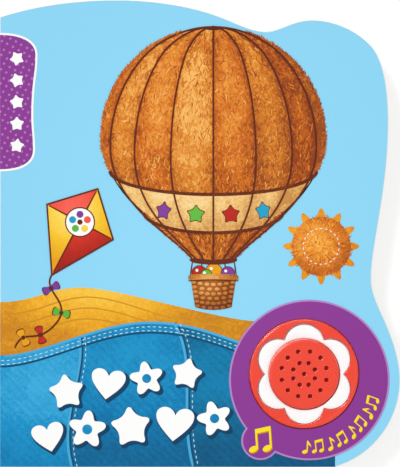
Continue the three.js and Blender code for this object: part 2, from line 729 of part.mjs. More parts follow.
function speakerGasket() {
  const ring = cylinder(SPEAKER_RADIUS, speakerTop, speakerTop + GASKET);
  const hole = cylinder(SPEAKER_RADIUS - SPEAKER_LIP, speakerTop - 1, speakerTop + 1);
  return piece("speaker_gasket", ring.subtract(hole), blackFoam);
}

function speakerMagnet() {
  return piece("speaker_magnet", cylinder(MAGNET_RADIUS, magnetBase, speakerBase), steel);
}

// A tube of a round section along a curve
function wire(curve, radius, steps) {
  const corners = Array.from({ length: SMALL_STEPS }, (_, corner) => polar(radius, (corner * 360) / SMALL_STEPS));
  const section = new THREE.Shape(corners);
  return solid(new THREE.ExtrudeGeometry(section, { steps, extrudePath: curve, bevelEnabled: false }));
}

class Helix extends THREE.Curve {
  constructor(radius, from, to, turns) {
    super();
    Object.assign(this, { radius, from, to, turns });
  }
  getPoint(t) {
    const angle = t * this.turns * 2 * Math.PI;
    const height = this.from + (this.to - this.from) * t;
    return new THREE.Vector3(this.radius * Math.cos(angle), this.radius * Math.sin(angle), height);
  }
}

function returnSpring(index) {
  const from = pcbTop + SPRING_POST_ABOVE_PCB + SPRING_WIRE * 2;
  const to = buttonFlangeBase - SPRING_WIRE * 2;
  const coil = wire(new Helix(SPRING_RADIUS, from, to, SPRING_TURNS), SPRING_WIRE, SPRING_TURNS * 10);
  const centre = polar(springOrbit, SPRING_ANGLES[index]);
  return piece(`return_spring_${index + 1}`, coil.translate([centre.x, centre.y, 0]), steel);
}

// A lead from the speaker's terminal down to the circuit board
function speakerLead(name, side, material) {
  const start = polar(PART_ORBIT - 1.4, LEAD_ANGLE);
  const end = polar(PART_ORBIT + 0.6, LEAD_ANGLE);
  const across = polar((side * LEAD_SPACING) / 2, LEAD_ANGLE + 90);
  const middle = start.clone().lerp(end, 1.4);
  const route = new THREE.CatmullRomCurve3([
    new THREE.Vector3(start.x + across.x, start.y + across.y, speakerBase),
    new THREE.Vector3(middle.x + across.x, middle.y + across.y, (speakerBase + pcbTop) / 2),
    new THREE.Vector3(end.x + across.x, end.y + across.y, pcbTop),
  ]);
  const slab = cylinder(caseInside, pcbTop, speakerBase);
  return piece(name, wire(route, LEAD_RADIUS, 8).intersect(slab), material);
}

// The sound module stands on its own axis, which a group carries to its place in the book
function soundModule() {
  const group = new THREE.Group();
  const cells = Array.from({ length: CELL_COUNT }, (_, cell) => cell);
  const [first, second, third] = cells.map(cellCentre);
  group.add(
    caseShell(),
    flowerInlay(),
    speakerButton(),
    caseBase(),
    batteryDoor(),
    screw("battery_door_screw", polar(doorScrewOrbit, DOOR_SCREW_ANGLE), doorScrewBase, DOOR_SCREW_LENGTH),
    ...SCREW_ANGLES.map((angle, index) =>
      screw(`case_screw_${index + 1}`, polar(screwOrbit, angle), BASE_RECESS + 0.1, SCREW_LENGTH),
    ),
    ...cells.map(buttonCell),
    contactStrip("battery_contact_plus", first.clone().multiplyScalar(0.7), first, cellTop),
    contactStrip("battery_link_top", second, third, cellTop),
    contactStrip("battery_link_door", first, second, doorTop),
    contactStrip("battery_contact_minus", third.clone().multiplyScalar(0.7), third, doorTop),
    circuitBoard(),
    soundChip(),
    capacitor(),
    switchBody(),
    switchPlunger(),
    speakerMagnet(),
    speakerFrame(),
    speakerCone(),
    speakerGasket(),
    ...SPRING_ANGLES.map((_, index) => returnSpring(index)),
    speakerLead("speaker_lead_red", 1, redSleeve),
    speakerLead("speaker_lead_black", -1, blackSleeve),
  );
  group.position.set(moduleX, moduleY, 0);
  return group;
}

const soundBook = new THREE.Group();
soundBook.name = "sound_book";
soundBook.add(frontCover(), ...printedCover(), pageBlock(), spine(), backCover(), backLining(), soundModule());
soundBook.position.set(-BOOK_WIDTH / 2, -BOOK_HEIGHT / 2, 0);

export default soundBook;
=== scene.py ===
"""A die-cut board book with a round push-button sound module, closed and seen from above."""

import logging
import math
import random
from collections.abc import Callable, Sequence
from dataclasses import dataclass, field
from enum import Enum

import bmesh
import bpy
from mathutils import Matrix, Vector
from mathutils.geometry import tessellate_polygon


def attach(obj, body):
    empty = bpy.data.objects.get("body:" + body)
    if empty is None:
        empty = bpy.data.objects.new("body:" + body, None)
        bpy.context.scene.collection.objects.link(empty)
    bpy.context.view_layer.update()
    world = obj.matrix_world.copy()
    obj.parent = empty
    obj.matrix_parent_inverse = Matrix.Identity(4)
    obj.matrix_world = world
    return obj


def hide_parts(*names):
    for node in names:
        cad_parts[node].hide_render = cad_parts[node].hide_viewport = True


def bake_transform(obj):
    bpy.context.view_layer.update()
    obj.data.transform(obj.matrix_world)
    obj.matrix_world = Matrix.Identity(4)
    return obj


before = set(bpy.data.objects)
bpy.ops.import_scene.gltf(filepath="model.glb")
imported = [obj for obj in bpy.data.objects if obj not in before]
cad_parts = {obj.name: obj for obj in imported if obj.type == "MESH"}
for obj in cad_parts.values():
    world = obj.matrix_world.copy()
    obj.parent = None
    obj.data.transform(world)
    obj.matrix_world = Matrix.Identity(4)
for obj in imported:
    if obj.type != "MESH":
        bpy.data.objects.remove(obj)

LOG = logging.getLogger("sound_book")
MM = 0.001
Socket = bpy.types.NodeSocket
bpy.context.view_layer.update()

Point = tuple[float, float]
Loop = list[Point]


@dataclass(frozen=True)
class BookSizes:
    """Sizes of the book in millimetres, from the foot of the spine. They repeat the part's own."""

    width: float = 165.0
    height: float = 192.6
    spine_height: float = 192.6 * 0.9636
    cover_top: float = 17.1
    cover_base: float = 15.1
    pages_top: float = 14.8
    pages_base: float = 4.3
    leaf: float = 1.9
    leaf_gap: float = 0.25
    leaf_count: int = 5
    lining_top: float = 4.0
    board: float = 2.0
    lobe: Point = (127.6, 35.9)
    lobe_radius: float = 37.4
    disc_radius: float = 33.1
    bulge: Point = (107.4, 10.8)
    bulge_radius: float = 7.9
    module: Point = (125.4, 38.4)
    cover_hole: float = 23.4
    leaf_hole: float = 23.7


BOOK = BookSizes()


def place(x: float, y: float, z: float) -> Vector:
    """A point in millimetres from the foot of the spine, in the row frame in metres."""
    return Vector(((x - BOOK.width / 2) * MM, (y - BOOK.height / 2) * MM, z * MM))


def linear(hex_colour: str) -> tuple[float, float, float, float]:
    """An sRGB hex colour as linear light.

    Args:
        hex_colour: the colour, such as #8FD7F5.

    Returns:
        Red, green, blue and alpha.
    """
    channels = [int(hex_colour[i : i + 2], 16) / 255 for i in (1, 3, 5)]
    red, green, blue = (c / 12.92 if c <= 0.04045 else ((c + 0.055) / 1.055) ** 2.4 for c in channels)
    return (red, green, blue, 1.0)


# Flat outlines, all in millimetres


def circle(centre: Point, radius: float, steps: int = 96) -> Loop:
    """A round outline."""
    return [polar(centre, radius, 360 * i / steps) for i in range(steps)]


def polar(centre: Point, radius: float, degrees: float) -> Point:
    """The point at a distance and direction from a centre."""
    angle = math.radians(degrees)
    return (centre[0] + radius * math.cos(angle), centre[1] + radius * math.sin(angle))


def moved(loop: Loop, offset: Point, turn: float = 0.0, scale: float = 1.0) -> Loop:
    """A copy of a loop about the origin, carried to a place.

    Args:
        loop: the outline.
        offset: the place.
        turn: its turn in degrees.
        scale: its size.

    Returns:
        The copy.
    """
    cos, sin = math.cos(math.radians(turn)) * scale, math.sin(math.radians(turn)) * scale
    return [(offset[0] + x * cos - y * sin, offset[1] + x * sin + y * cos) for x, y in loop]


def curve(points: Sequence[Point], steps: int = 16) -> Loop:
    """Joined cubic curves through every third point, with the last point left out.

    Args:
        points: first end, two handles, next end, two handles, and so on.
        steps: points on each stretch.

    Returns:
        The points along the way.
    """
    path: Loop = []
    for first in range(0, len(points) - 1, 3):
        a, b, c, d = points[first : first + 4]
        for i in range(steps):
            t = i / steps
            weights = ((1 - t) ** 3, 3 * t * (1 - t) ** 2, 3 * t * t * (1 - t), t**3)
            path.append(tuple(sum(w * p[k] for w, p in zip(weights, (a, b, c, d))) for k in (0, 1)))
    return path


def rounded(loop: Loop, times: int = 2) -> Loop:
    """A loop with its corners cut again and again until they are round.

    Args:
        loop: the outline.
        times: how often its corners are cut.

    Returns:
        The smoother outline.
    """
    for _ in range(times):
        cut: Loop = []
        for (ax, ay), (bx, by) in zip(loop, loop[1:] + loop[:1]):
            cut.append((ax * 0.75 + bx * 0.25, ay * 0.75 + by * 0.25))
            cut.append((ax * 0.25 + bx * 0.75, ay * 0.25 + by * 0.75))
        loop = cut
    return loop


def wound(loop: Loop, left: bool) -> Loop:
    """A loop that runs with its inside on the left, or on the right."""
    area = sum(ax * by - bx * ay for (ax, ay), (bx, by) in zip(loop, loop[1:] + loop[:1]))
    return loop if (area > 0) == left else loop[::-1]


def inset(loop: Loop, distance: float) -> Loop:
    """A loop moved to its left, with mitred corners.

    Args:
        loop: the outline.
        distance: how far it moves, less than nothing to its right.

    Returns:
        The moved outline.
    """
    shifted: Loop = []
    count = len(loop)
    for i in range(count):
        before, here, after = (Vector(loop[(i + k) % count]) for k in (-1, 0, 1))
        first, second = (here - before).normalized(), (after - here).normalized()
        normal = Vector((-first.y - second.y, first.x + second.x))
        if normal.length < 1e-6:
            shifted.append(tuple(here))
            continue
        normal.normalize()
        # The mitre of a sharp corner is cut short
        reach = distance / max(0.4, normal.dot(Vector((-first.y, first.x))))
        shifted.append(tuple(here + normal * reach))
    return shifted


def board_outline(steps: int = 28) -> Loop:
    """The die-cut outline of every board, as smooth as the real cut.

    Args:
        steps: points on each stretch of its curves.

    Returns:
        The outline, from the foot of the spine.
    """
    # Where the round lobe's edge passes into the wave above it, in radians
    entry = 0.157
    (lobe_x, lobe_y), radius = BOOK.lobe, BOOK.lobe_radius
    foot, arc_steps = -math.asin(lobe_y / radius), steps * 4
    angles = [foot + (entry - foot) * i / arc_steps for i in range(arc_steps)] + [entry]
    arc = [(lobe_x + radius * math.cos(angle), lobe_y + radius * math.sin(angle)) for angle in angles]
    edge = arc.pop()
    shares = [
        (0.928, 0.351), (0.928, 0.403), (0.928, 0.475), (0.971, 0.593), (0.971, 0.739),
        (0.971, 0.807), (0.96, 0.869), (0.93, 0.9), (0.895, 0.933), (0.84, 0.957), (0.78, 0.957),
        (0.73, 0.957), (0.7, 0.9325), (0.665, 0.9325), (0.625, 0.9325), (0.59, 0.952), (0.54, 0.967),
        (0.465, 0.99), (0.375, 1.0), (0.2875, 1.0), (0.1875, 1.0), (0.0875, 0.988), (0.0, 0.9636),
    ]  # fmt: skip
    handle = (edge[0] - 17 * math.sin(entry), edge[1] + 17 * math.cos(entry))
    crown = [edge, handle] + [(x * BOOK.width, y * BOOK.height) for x, y in shares]
    return [(0.0, 0.0), *arc, *curve(crown, steps), (0.0, BOOK.spine_height)]


class Motif(Enum):
    """Small shapes that are printed on the cover and the first page."""

    STAR = "star"
    HEART = "heart"
    FLOWER = "flower"


def motif_outline(motif: Motif) -> Loop:
    """The outline of a motif that is about two across, round the origin.

    Args:
        motif: which shape.

    Returns:
        Its outline.
    """
    if motif is Motif.STAR:
        return rounded([polar((0, 0), 1.0 if i % 2 == 0 else 0.52, 90 + 36 * i) for i in range(10)], 3)
    if motif is Motif.HEART:
        half = [(0, -0.95), (0.55, -0.45), (1.05, 0.0), (1.0, 0.45), (0.95, 0.9), (0.2, 1.0), (0, 0.42)]
        right = curve(half, 16)
        return right + [(0, 0.42)] + [(-x, y) for x, y in right[:0:-1]]
    return [polar((0, 0), 0.78 + 0.2 * math.cos(math.radians(5 * a)), a + 90) for a in range(0, 360, 4)]


def radians_round(steps: int) -> list[float]:
    """Evenly spaced angles round a full turn."""
    return [2 * math.pi * i / steps for i in range(steps)]


# Finishes


class NodeTree:
    """A node tree that grows node by node."""

    def __init__(self, tree: bpy.types.NodeTree) -> None:
        """Empty the tree.

        Args:
            tree: the tree to build in.
        """
        self.tree = tree
        self.tree.nodes.clear()

    def add(self, kind: str, inputs: dict | None = None, **settings: object) -> bpy.types.Node:
        """Add a node with its settings, values and links.

        Args:
            kind: the node's type.
            inputs: a value or another node's socket for each input.
            **settings: the node's own properties.

        Returns:
            The new node.
        """
        node = self.tree.nodes.new(kind)
        for name, value in settings.items():
            setattr(node, name, value)
        for name, value in (inputs or {}).items():
            if isinstance(value, Socket):
                self.tree.links.new(value, node.inputs[name])
            else:
                node.inputs[name].default_value = value
        return node

    def math(self, operation: str, first: object, second: object = 0.0, clamp: bool = False) -> Socket:
        """The result of one arithmetic step on two numbers or sockets."""
        inputs = {0: first, 1: second}
        return self.add("ShaderNodeMath", inputs, operation=operation, use_clamp=clamp).outputs[0]

    def swing(self, value: Socket, middle: float, amount: float) -> Socket:
        """How far a value lies from its middle, times an amount."""
        return self.math("MULTIPLY", self.math("SUBTRACT", value, middle), amount)

    def background_seen(self) -> Socket:
        """Tell the rays that see the background, straight or in gloss or glass, from the rest.

        Returns:
            One for such a ray and zero for the others.
        """
        path = self.add("ShaderNodeLightPath").outputs
        seen = self.math("MAXIMUM", path["Is Camera Ray"], path["Is Glossy Ray"])
        return self.math("MAXIMUM", seen, path["Is Transmission Ray"])


class MaterialTree(NodeTree):
    """The node tree of one material."""

    def __init__(self, name: str) -> None:
        """Start an empty material.

        Args:
            name: the material's name.
        """
        self.material = bpy.data.materials.new(name)
        self.material.use_nodes = True
        super().__init__(self.material.node_tree)

    def where(self) -> Socket:
        """The place on the piece, in its own axes."""
        return self.add("ShaderNodeTexCoord").outputs["Object"]

    def noise(self, where: Socket, scale: float, detail: float = 2.0, **more: float) -> Socket:
        """A cloudy value over the surface."""
        inputs = {"Vector": where, "Scale": scale, "Detail": detail, **more}
        return self.add("ShaderNodeTexNoise", inputs).outputs["Fac"]

    def span(self, value: Socket, source: Point, target: Point, kind: str = "LINEAR") -> Socket:
        """A value carried from one range to another.

        Args:
            value: the value.
            source: the range that it has.
            target: the range that it gets.
            kind: how it is carried over.

        Returns:
            The new value.
        """
        (low, high), (least, most) = source, target
        inputs = {"Value": value, "From Min": low, "From Max": high, "To Min": least, "To Max": most}
        return self.add("ShaderNodeMapRange", inputs, interpolation_type=kind).outputs["Result"]

    def relief(self, height: Socket, strength: float, distance: float) -> Socket:
        """The surface's direction with a fine relief on it."""
        inputs = {"Strength": strength, "Distance": distance, "Height": height}
        return self.add("ShaderNodeBump", inputs).outputs["Normal"]

    def ramp(self, factor: Socket, colours: Sequence[str]) -> Socket:
        """A colour from a row of evenly spaced colours.

        Args:
            factor: the place in the row, from 0 to 1.
            colours: the row, as sRGB hex.

        Returns:
            The colour.
        """
        node = self.add("ShaderNodeValToRGB", {"Fac": factor})
        stops = node.color_ramp.elements
        while len(stops) < len(colours):
            stops.new(0.5)
        for i, colour in enumerate(colours):
            stops[i].position = i / (len(colours) - 1)
            stops[i].color = linear(colour)
        return node.outputs["Color"]

    def surface(self, inputs: dict) -> bpy.types.Material:
        """End the tree in a Principled surface.

        Args:
            inputs: the surface's values and links.

        Returns:
            The finished material.
        """
        shader = self.add("ShaderNodeBsdfPrincipled", inputs)
        self.add("ShaderNodeOutputMaterial", {"Surface": shader.outputs["BSDF"]})
        return self.material


@dataclass(frozen=True)
class Finish:
    """A surface finish that builds its material once."""

    name: str

    def material(self) -> bpy.types.Material:
        """The finish's material, built at its first use."""
        return bpy.data.materials.get(self.name) or self.build()

    def build(self) -> bpy.types.Material:
        """Build the material's nodes."""
        raise NotImplementedError


# Gloss film over print, photographed through a polariser that takes most of its glare away
FILM = {"Roughness": 0.34, "IOR": 1.49, "Specular IOR Level": 0.15}


@dataclass(frozen=True)
class OffsetPrint(Finish):
    """Offset print under a gloss film: flat colour with a faint paper mottle and a soft, even shine."""

    dark: str
    mid: str
    light: str
    centre: Point = (82.5, 96.3)
    reach: Point = (60.0, 60.0)
    grain: float = 0.05
    stroke: float = 1.4
    puff: float = 0.0
    weave: float = 0.0

    def build(self) -> bpy.types.Material:
        """Blend three inks by distance from a lit centre, with painted strokes over them.

        Returns:
            The finished material.
        """
        tree = MaterialTree(self.name)
        coords = tree.add("ShaderNodeTexCoord").outputs
        where = away = coords["Object"]
        scale = (1 / (self.reach[0] * MM), 1 / (self.reach[1] * MM), 0)
        for operation, amount in (("SUBTRACT", place(*self.centre, 0)), ("MULTIPLY", scale)):
            away = tree.add("ShaderNodeVectorMath", {0: away, 1: amount}, operation=operation).outputs[0]
        away = tree.add("ShaderNodeVectorMath", {0: away}, operation="LENGTH").outputs["Value"]
        glow = tree.span(away, (0.0, 1.0), (0.95, 0.05), "SMOOTHSTEP")
        fine = tree.noise(where, 1 / (self.stroke * MM), 3.0, Roughness=0.6, Distortion=0.8)
        broad = tree.noise(where, 1 / (self.stroke * 7 * MM))
        mottle = tree.math("ADD", fine, tree.math("MULTIPLY", broad, 0.6))
        tone = tree.math("ADD", glow, tree.swing(mottle, 0.8, self.grain * 2))
        if self.puff:
            across = tree.add("ShaderNodeSeparateXYZ", {0: coords["UV"]}).outputs["X"]
            mirror = tree.math("MULTIPLY", across, tree.math("SUBTRACT", 1.0, across))
            crown = tree.math("POWER", tree.math("MULTIPLY", mirror, 4.0), 0.6)
            dip = tree.math("MULTIPLY", tree.math("SUBTRACT", 1.0, crown), self.puff)
            tone = tree.math("SUBTRACT", tone, dip)
        if self.weave:
            # Twill lines are drawn 1 mm apart, coarser than real denim, so that they show
            twill = {"Vector": where, "Scale": 160.0, "Distortion": 1.5, "Detail": 1.0, "Detail Scale": 2.0}
            wave = tree.add("ShaderNodeTexWave", twill, bands_direction="DIAGONAL").outputs["Fac"]
            tone = tree.math("ADD", tone, tree.swing(wave, 0.5, self.weave))
        colour = tree.ramp(tree.math("ADD", tone, 0.0, clamp=True), (self.dark, self.mid, self.light))
        # The film over the ink has the gentle ripple of board that was pressed flat
        normal = tree.relief(tree.noise(where, 220.0), 0.04, 0.0002)
        return tree.surface({"Base Color": colour, "Normal": normal, **FILM})


def flat_print(name: str, colour: str, lift: int = 5) -> OffsetPrint:
    """One plain ink, a shade lighter and darker at most.

    Args:
        name: the finish's name.
        colour: the ink as sRGB hex.
        lift: how far its shades lie apart, of 255.

    Returns:
        The finish.
    """
    shades = []
    for step in (-lift, 0, lift):
        parts = [min(255, max(0, int(colour[i : i + 2], 16) + step)) for i in (1, 3, 5)]
        shades.append("#" + "".join(f"{part:02X}" for part in parts))
    return OffsetPrint(name, *shades, reach=(110.0, 130.0))


@dataclass(frozen=True)
class DottedPrint(Finish):
    """Offset print of small round dots in slanting rows on a plain ground, under a gloss film."""

    ground: str
    dot: str
    pitch: float = 2.5
    radius: float = 0.5
    turn: float = 28.0

    def build(self) -> bpy.types.Material:
        """Draw a dot in the middle of each cell of a turned grid.

        Returns:
            The finished material.
        """
        tree = MaterialTree(self.name)
        where = tree.where()
        # The sheet runs on from the cover round the spine, so height there counts as width
        axes = tree.add("ShaderNodeSeparateXYZ", {0: where}).outputs
        flat = {"X": tree.math("SUBTRACT", axes["X"], axes["Z"]), "Y": axes["Y"]}
        unfolded = tree.add("ShaderNodeCombineXYZ", flat).outputs[0]
        turn = {"Vector": unfolded, "Rotation": (0, 0, math.radians(self.turn)), "Scale": (1, 1, 0)}
        turned = tree.add("ShaderNodeMapping", turn).outputs["Vector"]
        grid = {"Vector": turned, "Scale": 1 / (self.pitch * MM), "Randomness": 0.12}
        away = tree.add("ShaderNodeTexVoronoi", grid, voronoi_dimensions="2D").outputs["Distance"]
        share = self.radius / self.pitch
        inside = tree.span(away, (share * 0.85, share * 1.15), (1.0, 0.0))
        mottle = tree.swing(tree.noise(where, 300.0), 0.5, 0.12)
        colour = tree.ramp(tree.math("ADD", inside, mottle, clamp=True), (self.ground, self.dot))
        return tree.surface({"Base Color": colour, **FILM})


@dataclass(frozen=True)
class StrokePrint(Finish):
    """Painted hair strokes under the gloss film, each in the tone that its own attribute gives."""

    colours: tuple[str, ...]

    def build(self) -> bpy.types.Material:
        """Read the tone of each stroke.

        Returns:
            The finished material.
        """
        tree = MaterialTree(self.name)
        tone = tree.add("ShaderNodeAttribute", attribute_name="tone").outputs["Fac"]
        return tree.surface({"Base Color": tree.ramp(tone, self.colours), **FILM})


@dataclass(frozen=True)
class Board(Finish):
    """Cut edge of coated pulp board: matt off-white with fine plies along the sheet."""

    dark: str = "#E0DACD"
    light: str = "#FBF9F3"

    def build(self) -> bpy.types.Material:
        """Stretch a noise along the sheet so that it reads as plies.

        Returns:
            The finished material.
        """
        tree = MaterialTree(self.name)
        where = tree.where()
        # A ply is about 0.35 mm thick
        plies = tree.add("ShaderNodeMapping", {"Vector": where, "Scale": (60, 60, 2800)}).outputs["Vector"]
        lines = tree.noise(plies, 1.0, 3.0)
        fibre = tree.math("MULTIPLY", tree.noise(where, 2500.0, 3.0), 0.35)
        tone = tree.math("ADD", tree.math("MULTIPLY", lines, 0.75), fibre, clamp=True)
        colour, normal = tree.ramp(tone, (self.dark, self.light)), tree.relief(lines, 0.25, 0.0001)
        return tree.surface({"Base Color": colour, "Roughness": 0.85, "Normal": normal})


@dataclass(frozen=True)
class Moulding(Finish):
    """A moulded, drawn or plated surface: one colour with a faint cloud in it and the tool's fine texture."""

    colour: str
    shade: str
    roughness: float = 0.25
    metallic: float = 0.0
    ior: float = 1.53
    grit: float = 0.6
    relief: float = 0.03

    def build(self) -> bpy.types.Material:
        """Cloud the colour, vary the shine a little and add a fine relief.

        Returns:
            The finished material.
        """
        tree = MaterialTree(self.name)
        where = tree.where()
        grit = tree.noise(where, 1 / (self.grit * MM), 3.0)
        values = {
            "Base Color": tree.ramp(tree.noise(where, 90.0), (self.shade, self.colour, self.colour)),
            "Roughness": tree.span(grit, (0.0, 1.0), (self.roughness * 0.85, self.roughness * 1.15)),
            "Metallic": self.metallic,
            "Normal": tree.relief(grit, self.relief, 0.0001),
        }
        if not self.metallic:
            values["IOR"] = self.ior
        return tree.surface(values)


# Print inks under gloss film: three shades, centre and reach of the lit spot, grain, length of a stroke
SKY = flat_print("sky_ink_gloss_film", "#8FD7F5", 3)
WHITE_INK = flat_print("bare_paper_gloss_film", "#FCFCFA", 2)
PURPLE = flat_print("purple_ink_gloss_film", "#8C3B94", 4)
LILAC = flat_print("lilac_ink_gloss_film", "#B487C4", 4)
TAB_DOTS = DottedPrint("dotted_purple_ink_gloss_film", "#8A3A92", "#B672BC", 2.6, 0.5)
YELLOW = flat_print("yellow_ink_gloss_film", "#FBE128", 4)
YELLOW_SHADE = flat_print("ochre_ink_gloss_film", "#C98A1E", 6)
TWILL = {"grain": 0.5, "stroke": 1.2, "weave": 0.12}
DENIM = OffsetPrint("denim_blue_ink", "#035F8C", "#0378AE", "#1A94C8", (55, 44), (72, 46), **TWILL)
DENIM_DEEP = OffsetPrint("denim_dark_ink", "#034F79", "#04658F", "#0A7FAE", (88, 38), (60, 46), **TWILL)
DENIM_PALE = OffsetPrint("denim_pale_ink", "#067AAE", "#1590C6", "#3BAADB", (20, 36), (52, 44), **TWILL)
SEAM = flat_print("seam_blue_ink", "#46ABDA", 6)
SEAM_DARK = flat_print("seam_shadow_ink", "#024A70", 4)
THREAD = flat_print("stitch_ink", "#BFE6F6", 4)
MUSTARD = OffsetPrint("mustard_ink", "#C9821A", "#EDAA22", "#F9C745", (40, 74), (58, 26), 0.5, 1.3)
MUSTARD_LINE = flat_print("mustard_furrow_ink", "#D08F1B", 5)
SHADOW_INK = flat_print("navy_shadow_ink", "#033F63", 4)
PLUSH = {"centre": (76, 152), "reach": (62, 66), "grain": 0.85, "stroke": 1.3, "puff": 0.42}
PLUSH_ORANGE = OffsetPrint("plush_orange_ink", "#8C3D12", "#D06A1C", "#F2A040", **PLUSH)
PLUSH_CARAMEL = OffsetPrint("plush_caramel_ink", "#97491A", "#DE8527", "#F9BC62", **PLUSH)
PLUSH_CREAM = OffsetPrint("plush_cream_ink", "#C98A45", "#F5C87C", "#FFE7B4", (80, 124), (58, 40), 0.6, 1.2, 0.34)
PLUSH_SUN = OffsetPrint("plush_sun_ink", "#A04C14", "#E6862A", "#FBB950", (131, 92), (17, 17), 0.85, 1.2)
SUN_RAYS = OffsetPrint("sun_ray_ink", "#D77B12", "#F3A823", "#FFD557", (131, 92), (20, 20), 0.4, 1.2)
ROPE = flat_print("dark_brown_ink", "#5E2410", 6)
BROWN = OffsetPrint("umber_ink", "#5E2410", "#8C4317", "#B5652A", (86, 74), (14, 12), 0.5, 1.0)
CARAMEL = OffsetPrint("wicker_ink", "#9A561F", "#CC8436", "#EDB468", (86, 75), (14, 12), 0.5, 1.0)
KITE = {"centre": (30, 106), "reach": (24, 26), "grain": 0.15, "stroke": 2.0}
RED = OffsetPrint("red_ink", "#B5261A", "#EA402D", "#F9695A", **KITE)
RED_DEEP = OffsetPrint("deep_red_ink", "#9C1C12", "#CC2F1F", "#E64A38", **KITE)
SUNNY = OffsetPrint("sunny_ink", "#E59B12", "#F8C52B", "#FFE470", **KITE)
GREEN = flat_print("green_ink", "#5DB53C", 6)
VIOLET = flat_print("violet_ink", "#7E3C96", 6)
TEAL = flat_print("teal_ink", "#1FA0C4", 6)
HAIR = StrokePrint("plush_hair_ink", ("#7A3410", "#B85A1B", "#E38628", "#FBBE66"))
SUN_HAIR = StrokePrint("sun_hair_ink", ("#B4581A", "#E07F22", "#F7A63A", "#FFCB6E"))
CREAM_PAGE = flat_print("cream_page_ink", "#FFF2CF", 3)
PAGE_SKY = flat_print("pale_sky_page_ink", "#C4EAF8", 3)
PAGE_SUN = flat_print("page_sun_ink", "#FFD03A", 4)
MEADOW = OffsetPrint("meadow_ink", "#7DBB4C", "#9BD05F", "#BBE27F", (60, 40), (90, 60), 0.3, 2.4)
MEADOW_NEAR = OffsetPrint("near_meadow_ink", "#4F9E3C", "#6AB84C", "#8ACB62", (40, 20), (80, 50), 0.3, 2.4)
ENDPAPER = DottedPrint("dotted_endpaper", "#FBD873", "#FFF0BE", 9.0, 1.9, 45.0)
BACK_PAPER = DottedPrint("dotted_back_ink", "#8FD7F5", "#A9E1F8", 11.0, 1.7, 45.0)
PULP = Board("coated_pulp_board_edge")
# Mouldings and metals: colour, its shade, roughness, metallic
ABS_RED = Moulding("glossy_red_abs", "#EE3612", "#E82E0C", 0.16, ior=1.54, grit=1.5, relief=0.015)
ABS_RED_GRILLE = Moulding("satin_red_abs", "#ED3816", "#E73110", 0.28, ior=1.54, grit=0.5, relief=0.04)
ABS_WHITE = Moulding("glossy_white_abs", "#FAFBFA", "#F6F7F6", 0.2, ior=1.54, grit=1.5, relief=0.015)
ABS_GREY = Moulding("satin_grey_abs", "#D6D9DA", "#CDD0D2", 0.42, grit=0.4, relief=0.08)
# A real dust cloth, but its dark red is painted shade that stands for the shade inside the grille holes
DUST_CLOTH_PAINTED_SHADE = Moulding("dust_cloth_painted_hole_shade", "#8A1008", "#760B05", 0.9, grit=0.35, relief=0.3)
PLATED_STEEL = Moulding("zinc_plated_steel", "#989B9F", "#85898D", 0.48, 1.0, grit=0.3, relief=0.08)
SPRING_STEEL = Moulding("drawn_spring_steel", "#B9BCC0", "#9EA2A7", 0.26, 1.0, grit=0.2, relief=0.05)
CONTACT_BRASS = Moulding("stamped_brass", "#D2AE5A", "#BC9645", 0.34, 1.0, grit=0.4, relief=0.06)
SOLDER_MASK = Moulding("green_solder_mask", "#2C7340", "#225C33", 0.36, grit=0.3, relief=0.06)
EPOXY = Moulding("black_epoxy", "#1D1D1F", "#141416", 0.24, grit=0.8, relief=0.04)
BLUE_SLEEVE = Moulding("blue_shrink_sleeve", "#27558F", "#1E4576", 0.35, grit=0.6, relief=0.03)
NYLON = Moulding("white_nylon", "#EDEDE8", "#E2E2DC", 0.4, grit=0.5, relief=0.04)
CONE_FILM = Moulding("pressed_cone_film", "#CFC9BD", "#BEB7A8", 0.38, grit=0.5, relief=0.08)
FOAM = Moulding("black_foam", "#2B2B2D", "#1E1E20", 0.95, grit=0.4, relief=0.4)
RED_PVC = Moulding("red_pvc_sleeve", "#C8291F", "#B02219", 0.45, grit=0.5, relief=0.04)
BLACK_PVC = Moulding("black_pvc_sleeve", "#232325", "#18181A", 0.45, grit=0.5, relief=0.04)


